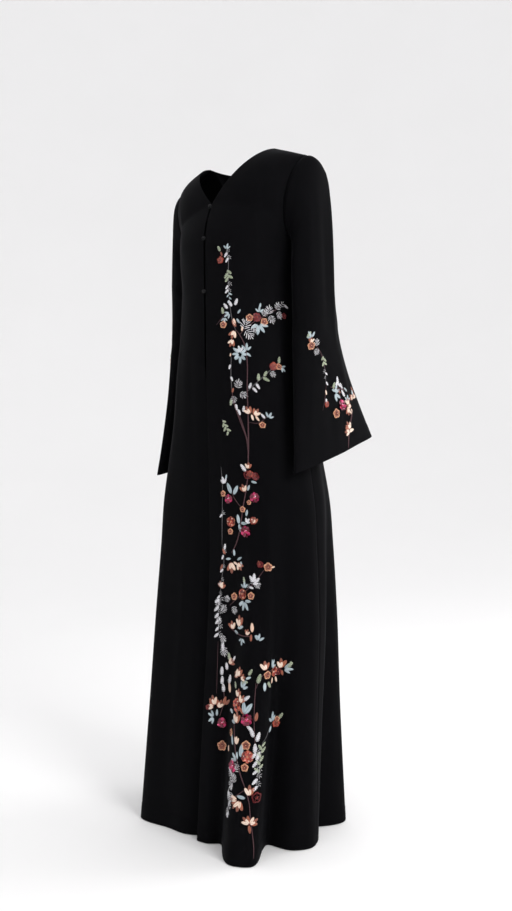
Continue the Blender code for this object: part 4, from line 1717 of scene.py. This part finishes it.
FRONT_MOTIFS = (
    *alike(
        M.OVAL, F.SAGE,
        (17, -240, -25, 12), (20, -372, -10, 13), (47, -514, 5, 14), (51, -508, 120, 14),
        (52, -505, 30, 12), (66, -476, 10, 13), (24, -552, 190, 12), (18.5, -1085, -15, 15),
        (31, -1104, 30, 13), (28, -1120, 80, 14), (24.5, -1135, -25, 13), (57.5, -1198, 30, 13),
        (36, -1118, 15, 18), (60, -1094, 50, 15), (61.5, -1094, 15, 12), (42, -1117, 140, 15),
    ),
    *alike(
        M.SPRIG, F.ICE,
        (23, -238, 15, 11), (21, -380, 185, 11), (26, -372, -120, 13), (51.5, -372, 8, 13),
        (33.5, -462, 185, 14), (39, -452, 10, 15), (68, -484, 130, 12), (52, -592, 30, 14),
        (26.5, -938, 0, 15), (35, -1038, 15, 15), (26, -1036, 185, 13), (28, -1132, 25, 17),
        (28, -1266, -50, 18), (51, -1204, -5, 18), (46, -1094, 30, 19), (58, -1098, 85, 16),
    ),
    *alike(
        M.BLOSSOM, F.CORAL,
        (17.5, -259, 0, 18), (61, -483, 0, 20), (33, -706, 0, 17), (32.5, -801, 0, 18), (55, -1208, 0, 19),
    ),
    *alike(
        M.LEAF, F.COPPER,
        (19, -251, -20, 10), (31, -402, -25, 18), (25, -538, 20, 11), (13, -872, -30, 14),
        (11, -892, 200, 15), (35.5, -893, -10, 13), (31, -1026, 180, 14), (27.5, -1168, 130, 17),
        (15.5, -1178, 15, 20), (17, -1176, 40, 16), (36, -1190, 8, 18), (56.5, -1100, 165, 12),
        (28.5, -1342, 200, 13), (35.5, -1379, 170, 16),
    ),
    *alike(
        M.OVAL, F.SILVER,
        (35.5, -1219, -25, 17), (37.2, -1227, 15, 18), (34.6, -1208, -50, 14),
        (28, -358, -30, 14), (31, -356, 20, 14), (24, -362, -35, 13), (39, -530, 25, 12),
        (42, -529, 140, 12), (45, -521, 150, 12), (33, -578, 10, 12), (30, -700, -35, 17),
        (13, -1052, 175, 17), (21, -1085, 35, 12), (17, -1105, -10, 14), (13.5, -1117, 0, 17),
        (14, -1135, 0, 16), (15.5, -1150, -8, 16), (19, -1132, 8, 18), (29.5, -1152, 55, 15),
        (36.5, -1248, 0, 17),
    ),
    *alike(
        M.BLOSSOM, F.PEACH,
        (20, -395, 10, 18), (43, -383, 0, 18), (55.5, -391, 30, 19), (65.5, -484, 0, 16),
        (46.5, -606, 0, 16), (12.5, -746, 0, 15), (30.5, -764, 0, 11), (26, -778, 0, 15), (17, -824, 0, 15),
        (41, -893, 0, 21), (20, -956, 0, 18), (30.5, -951, 0, 18), (23.4, -1222, 0, 17), (16, -1258, 0, 25),
        (32, -1235, 0, 21), (32, -1276, 0, 18), (56, -1199, 0, 13), (41.5, -1103, 0, 19),
    ),
    *alike(
        M.LEAF, F.ICE,
        (33, -374, 35, 11), (32, -384, 150, 12), (52, -362, 12, 11), (39, -456, 135, 12),
        (33, -721, 105, 13), (30, -740, 25, 13), (15, -716, 15, 10), (18.5, -746, -22, 24),
        (20, -748, 32, 22), (28, -792, 15, 14), (23, -808, -8, 20), (23, -808, 165, 17), (24, -806, 95, 16),
        (19.5, -874, -5, 14), (17, -880, -95, 13), (21.5, -882, 60, 13), (24, -884, 170, 12),
        (26, -963, 225, 16), (21, -1024, 120, 13), (23, -1018, 75, 19), (33, -1028, 105, 12),
        (29.5, -1112, 70, 13), (23.5, -1184, -80, 19), (24.5, -1186, 165, 14), (30, -1178, -8, 24),
        (30, -1178, 38, 27), (11.5, -1200, 0, 14), (25.5, -1200, -85, 17), (25, -1242, -25, 20),
        (29.5, -1258, 5, 25), (50, -1210, -150, 14), (40, -1117, 178, 17), (33, -1332, -80, 17),
    ),
    *alike(
        M.LEAF, F.CREAM,
        (30, -400, -5, 17), (36, -411, 10, 11), (25, -463, 15, 8), (39, -584, 170, 13), (42, -587, 150, 13),
        (19, -886, 120, 12), (43, -894, 80, 9), (31.5, -1022, -3, 19), (20, -1150, -12, 21),
        (27, -1237, -28, 15), (27, -1237, 0, 15), (27, -1237, 28, 15), (22, -1262, -20, 12),
        (47, -1112, 190, 12), (51, -1112, 160, 13),
    ),
    *alike(
        M.BUD, F.COPPER,
        (30, -410, 215, 22), (28, -428, 200, 20), (38, -582, -20, 21), (41, -586, 30, 21),
        (32, -695, 15, 17), (28, -742, -25, 20), (33.5, -806, 10, 16), (17.5, -888, 185, 27),
        (22, -888, 140, 21), (10.5, -940, -25, 17), (11, -942, 25, 17), (24.5, -1014, -4, 28),
        (19.5, -1022, -20, 21), (28.5, -1028, 10, 15), (18.5, -1092, 60, 19), (26, -1110, 5, 23),
        (25, -1112, -70, 20), (27, -1113, 65, 17), (26.2, -1149, 8, 20), (27.8, -1158, 35, 21),
        (9.5, -1178, -30, 24), (9, -1182, -80, 20), (12, -1182, 20, 21), (26.5, -1198, 5, 27),
        (40, -1093, 0, 22), (56, -1096, 3, 24), (35, -1326, 5, 24), (29, -1336, -110, 20),
        (30.5, -1338, 185, 25), (35.5, -1377, -40, 21), (36, -1377, 70, 21),
    ),
    *alike(
        M.FERN, F.SILVER,
        (38, -408, 15, 23), (39, -409, 140, 21), (44, -400, 125, 18), (54, -378, 40, 14), (60, -375, 5, 18),
        (61, -376, 160, 17), (68, -364, 15, 16), (69, -366, 155, 16), (58, -494, 150, 13),
        (30, -530, 10, 18), (31, -540, 110, 16), (27, -545, 200, 14), (8.5, -980, -10, 16),
        (11.5, -990, 35, 16), (10.5, -1016, -25, 15), (12.5, -1036, 165, 16), (13.5, -1060, 165, 18),
        (33, -921, 150, 15), (20, -975, 170, 15), (17, -966, -60, 14), (26, -1300, -60, 20),
        (26.4, -1306, -145, 19), (27.5, -1288, 15, 18), (27.5, -1308, -20, 17), (26.5, -1326, -170, 17),
        (25, -1346, -15, 18), (25.4, -1360, -140, 18), (25.2, -1358, 30, 16),
       
    ),
    *alike(
        M.ROSETTE, F.RUBY,
        (49, -382, 0, 23), (36.5, -711, 0, 20),
    ),
    *alike(
        M.TRIO, F.ICE,
        (50.5, -396, 172, 21), (33, -457, -70, 16), (34, -459, 70, 16), (26.5, -962, 165, 21),
        (9.5, -1203, -100, 15),
    ),
    *alike(
        M.BLOSSOM, F.RUBY,
        (76, -374, 0, 15), (60, -486, 0, 17), (31, -708, 0, 21), (36, -888, 0, 16), (4.5, -1186, 0, 12),
        (53.5, -1103, 0, 17), (38.5, -1330, 0, 25),
    ),
    *alike(
        M.SPRIG, F.SILVER,
        (33.5, -455, -5, 12), (13.5, -726, -10, 13), (28, -805, 40, 10), (32, -925, 5, 16),
    ),
    *alike(
        M.LEAF, F.SILVER,
        (25, -480, 200, 9), (25, -505, 160, 9), (27.5, -562, 175, 12), (29, -573, 165, 12),
        (49, -592, -35, 11), (12.5, -862, 10, 12), (37.5, -1262, 20, 16),
    ),
    *alike(
        M.JEWEL, F.MAGENTA,
        (16.5, -757, 0, 22), (34.5, -754, 0, 24), (27.5, -823, 0, 27), (15.5, -1212, 0, 24),
        (31.6, -1188, 0, 27), (26.2, -1279, 0, 29),
    ),
    *alike(
        M.ROSETTE, F.CORAL,
        (17.5, -804, 0, 25), (25.5, -949, 0, 26), (26, -1165, 0, 33), (33, -1256, 0, 29),
        (49, -1101, 0, 25),
    ),
    *alike(
        M.LEAF, F.SAGE,
        (26.5, -926, -12, 11),
    ),
)

SLEEVE_STEMS = (
    stalk(((44, 668), (34, 676), (25, 692), (18, 718), (14, 750)), 1.8),
    stalk(((19, 700), (17, 722)), 1.2, F.SMOKE, F.SAGE, 10, 10),
    stalk(((17, 728), (15, 748), (15, 785)), 1.2, F.SMOKE, F.SILVER, 8, 18),
    stalk(((15, 785), (19, 815), (25, 852)), 1.4),
    stalk(((6, 792), (-5, 800), (-18, 806), (-26, 816)), 3),
    stalk(((-8, 778), (-8, 805), (-10, 835)), 3),
    stalk(((-22, 862), (-25, 885), (-20, 915), (-13, 955), (-9, 994)), 3.8),
    stalk(((-20, 850), (-28, 842), (-38, 832), (-48, 828)), 2.6),
)

SLEEVE_MOTIFS = (
    *alike(
        M.OVAL, F.SAGE,
        (55, 650, -30, 13), (2, 798, -30, 14),
    ),
    *alike(
        M.SPRIG, F.ICE,
        (44, 653, 25, 15), (-22, 846, -10, 14),
    ),
    *alike(
        M.BUD, F.COPPER,
        (47, 665, -5, 15), (-22, 856, 0, 19), (-26, 864, 60, 19), (-20, 868, 170, 19), (-36, 846, 30, 17),
        (-52, 838, 60, 18), (-17, 936, 25, 22), (-16, 942, 78, 22),
    ),
    *alike(
        M.BLOSSOM, F.PEACH,
        (46, 673, 0, 21), (2, 873, 0, 24),
    ),
    *alike(
        M.FERN, F.SILVER,
        (33, 676, -5, 14), (30, 682, 150, 14),
    ),
    *alike(
        M.LEAF, F.CREAM,
        (16, 812, 10, 11), (-27, 872, 160, 14), (-15, 944, -85, 19),
    ),
    *alike(
        M.LEAF, F.SILVER,
        (18, 822, 190, 10),
    ),
    *alike(
        M.BLOSSOM, F.CORAL,
        (17, 838, 0, 16),
    ),
    *alike(
        M.OVAL, F.SILVER,
        (-9, 786, 0, 15), (-4, 792, -40, 14), (-13, 796, 40, 13), (-18, 828, 25, 16), (-16, 803, 20, 13),
    ),
    *alike(
        M.LEAF, F.ICE,
        (-24, 814, 40, 12), (4, 800, -120, 13), (-44, 834, -10, 14),
    ),
    *alike(
        M.TRIO, F.ICE,
        (0, 812, -100, 19),
    ),
    *alike(
        M.LEAF, F.COPPER,
        (-12, 815, 60, 13), (-50, 822, 20, 14),
    ),
    *alike(
        M.JEWEL, F.MAGENTA,
        (-10, 853, 0, 27),
    ),
)


# --------------------------------------
# Fastenings
# --------------------------------------


@dataclass
class Fastening:
    """A covered ball button and the cord loop that holds it."""

    name: str
    gathers: int = 10

    def build(self) -> list[bpy.types.Object]:
        """Models both where their solids are.

        Returns:
            The button and the loop.
        """
        return [self.button(), self.loop()]

    def button(self) -> bpy.types.Object:
        """The ball, its cover drawn into gathers towards the back."""
        low, high = (Vector(corner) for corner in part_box(f"button_{self.name}"))
        middle, radius = (low + high) / 2, (high.x - low.x) / 2
        deselect_all()
        bpy.ops.mesh.primitive_uv_sphere_add(
            segments=40, ring_count=20, radius=radius, location=middle, rotation=(math.radians(90), 0, 0)
        )
        piece = bpy.context.active_object
        bpy.ops.object.transform_apply(location=True, rotation=True)
        for vertex in piece.data.vertices:
            away = vertex.co - middle
            turn = math.atan2(away.z, away.x)
            behind = max(0.0, away.y / radius + 0.3)
            vertex.co = middle + away * (1 - 0.05 * behind * (0.5 + 0.5 * math.cos(self.gathers * turn)))
        return self.dress(piece, f"fine_button_{self.name}", f"button_{self.name}")

    def loop(self) -> bpy.types.Object:
        """The loop: a cord on its solid's path, round outside and drawn together towards its feet."""
        low, high = (Vector(corner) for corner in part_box(f"loop_{self.name}"))
        middle = (low + high) / 2
        thick = 0.00072
        bend = (high.z - low.z) / 2 - thick
        deselect_all()
        bpy.ops.mesh.primitive_torus_add(
            major_segments=32,
            minor_segments=10,
            major_radius=bend,
            minor_radius=thick,
            rotation=(math.pi / 2, 0, 0),
        )
        piece = bpy.context.active_object
        bpy.ops.object.transform_apply(rotation=True)
        reach = high.x - low.x - bend - thick
        for vertex in piece.data.vertices:
            if vertex.co.x < 0:
                side = 1 if vertex.co.z > 0 else -1
                turn = math.atan2(vertex.co.z, -vertex.co.x)
                share = 1 - abs(turn) / (math.pi / 2)
                ring = math.hypot(vertex.co.x, vertex.co.z) - bend
                along = -(reach - thick) * share**0.8
                vertex.co = (along, vertex.co.y, side * (bend * (1 - 0.55 * share**3) + ring))
        for vertex in piece.data.vertices:
            vertex.co += Vector((high.x - bend - thick, middle.y, middle.z))
        return self.dress(piece, f"fine_loop_{self.name}", f"loop_{self.name}")

    def dress(self, piece: bpy.types.Object, name: str, node: str) -> bpy.types.Object:
        """Names, smooths and finishes a piece, and lets it stand for its solid."""
        piece.name = piece.data.name = name
        piece.data.shade_smooth()
        look = Cordage("black_rouleau", colour(0.006, 0.006, 0.007), colour(0.002, 0.002, 0.0025), 0.50)
        piece.data.materials.clear()
        piece.data.materials.append(bpy.data.materials.get(look.name) or look.material())
        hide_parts(node)
        return settle(piece)


# --------------------------------------
# Studio
# --------------------------------------


@dataclass
class Studio:
    """A pale sweep, soft light from large panels, and the camera."""

    azimuth: float = 40.34
    distance: float = 1.8485
    eye_height: float = -0.7326
    aside: float = 0.0296
    tilt: float = 2.16
    lens: float = 33.06
    sweep_reach: float = 9.0
    sweep_height: float = 9.5
    sweep_start: float = 2.2
    room: float = 0.94

    def build(self) -> None:
        """Sets up floor, world, lights and camera."""
        self.sweep()
        self.world()
        self.lights()
        self.camera()

    def sweep(self) -> None:
        """A floor that curves up into a low, wide backdrop on every side."""
        deselect_all()
        floor = HEM - 0.0012
        bpy.ops.mesh.primitive_circle_add(
            vertices=96, radius=self.sweep_start, fill_type="NOTHING", location=(0, 0, floor)
        )
        piece = bpy.context.active_object
        bpy.ops.object.transform_apply(location=True)
        bpy.ops.object.mode_set(mode="EDIT")
        bpy.ops.mesh.select_mode(type="EDGE")
        bpy.ops.mesh.select_all(action="SELECT")
        before = self.sweep_start
        for step in range(1, 17):
            share = step / 16
            reach = self.sweep_start + self.sweep_reach * share
            rise = self.sweep_height * (share**3 - ((step - 1) / 16) ** 3)
            bpy.ops.mesh.extrude_region_move(TRANSFORM_OT_translate={"value": (0, 0, rise)})
            bpy.ops.transform.resize(value=(reach / before, reach / before, 1), center_override=(0, 0, 0))
            before = reach
        bpy.ops.mesh.select_mode(type="VERT")
        bpy.ops.mesh.select_all(action="DESELECT")
        bpy.ops.object.mode_set(mode="OBJECT")
        for vertex in piece.data.vertices:
            vertex.select = math.hypot(vertex.co.x, vertex.co.y) < self.sweep_start + 0.01
        bpy.ops.object.mode_set(mode="EDIT")
        bpy.ops.mesh.edge_face_add()
        bpy.ops.mesh.select_all(action="SELECT")
        bpy.ops.mesh.normals_make_consistent(inside=False)
        bpy.ops.object.mode_set(mode="OBJECT")
        piece.name = "sweep"
        piece.data.shade_smooth()
        nodes = Nodes("pale_sweep")
        place = nodes.add("ShaderNodeTexCoord", {}, {}).outputs["Object"]
        cloud = nodes.number("ShaderNodeTexNoise", {}, {"Vector": place, "Scale": 0.8, "Detail": 2.0})
        pale = nodes.mix(cloud, colour(0.915, 0.910, 0.905), colour(0.945, 0.940, 0.938))
        paper = {"Base Color": pale, "Roughness": 0.9, "Specular IOR Level": 0.1}
        piece.data.materials.append(nodes.finish(paper))

    def world(self) -> None:
        """Even, very soft light from all round."""
        world = bpy.data.worlds.new("soft_room")
        world.use_nodes = True
        world.node_tree.nodes["Background"].inputs[0].default_value = colour(0.985, 0.985, 1.0)
        world.node_tree.nodes["Background"].inputs[1].default_value = self.room
        bpy.context.scene.world = world
        bpy.context.scene.view_settings.view_transform = "Standard"

    def lights(self) -> None:
        """Large panels to the wearer's left, to the right and behind."""
        for name, place, size, power in (
            ("left_panel", (3.0, -0.6, 0.9), 1.4, 62.0),
            ("right_panel", (-2.6, -2.0, 0.4), 1.8, 3.0),
            ("back_panel", (1.8, 2.6, 0.8), 1.6, 34.0),
        ):
            data = bpy.data.lights.new(name, "AREA")
            data.size = size
            data.energy = power
            light = bpy.data.objects.new(name, data)
            light.location = place
            aim = Vector((0, 0, -0.7)) - Vector(place)
            light.rotation_euler = aim.to_track_quat("-Z", "Y").to_euler()
            bpy.context.scene.collection.objects.link(light)

    def camera(self) -> None:
        """The camera, level with the robe's middle and turned up a little."""
        data = bpy.data.cameras.new("camera")
        data.lens = self.lens
        data.clip_end = 50
        camera = bpy.data.objects.new("camera", data)
        turn, tilt = math.radians(self.azimuth), math.radians(self.tilt)
        right = Vector((math.cos(turn), math.sin(turn), 0))
        away = Vector((math.sin(turn), -math.cos(turn), 0))
        camera.location = away * self.distance + right * self.aside + Vector((0, 0, self.eye_height))
        ahead = -away * math.cos(tilt) + Vector((0, 0, math.sin(tilt)))
        camera.rotation_mode = "QUATERNION"
        camera.rotation_quaternion = ahead.to_track_quat("-Z", "Y")
        bpy.context.scene.collection.objects.link(camera)
        bpy.context.scene.camera = camera


def main() -> None:
    """Builds the robe, its sprays, its fastenings and the studio."""
    logging.basicConfig(level=logging.INFO, format="%(name)s %(message)s")
    skirt = Skirt()
    sleeves = {
        "left": Sleeve(side=1, creases=LEFT_SLEEVE_CREASES),
        "right": Sleeve(side=-1, creases=RIGHT_SLEEVE_CREASES),
    }
    shells = Cloth(skirt, sleeves).build()
    stamps = Stamps()
    for name, ground, stems, motifs, seed in (
        ("front_left", skirt, FRONT_STEMS, FRONT_MOTIFS, 11),
        ("sleeve_left", sleeves["left"], SLEEVE_STEMS, SLEEVE_MOTIFS, 23),
        ("sleeve_right", sleeves["right"], SLEEVE_STEMS, SLEEVE_MOTIFS, 37),
    ):
        spray = Embroidery(f"spray_{name}", ground, stamps, seed)
        for stem in stems:
            spray.stem(stem)
        for motif in motifs:
            spray.put(motif)
        spray.joined()
    for name in ("top", "chest", "waist"):
        Fastening(name).build()
    Studio().build()


if __name__ == "__main__":
    main()
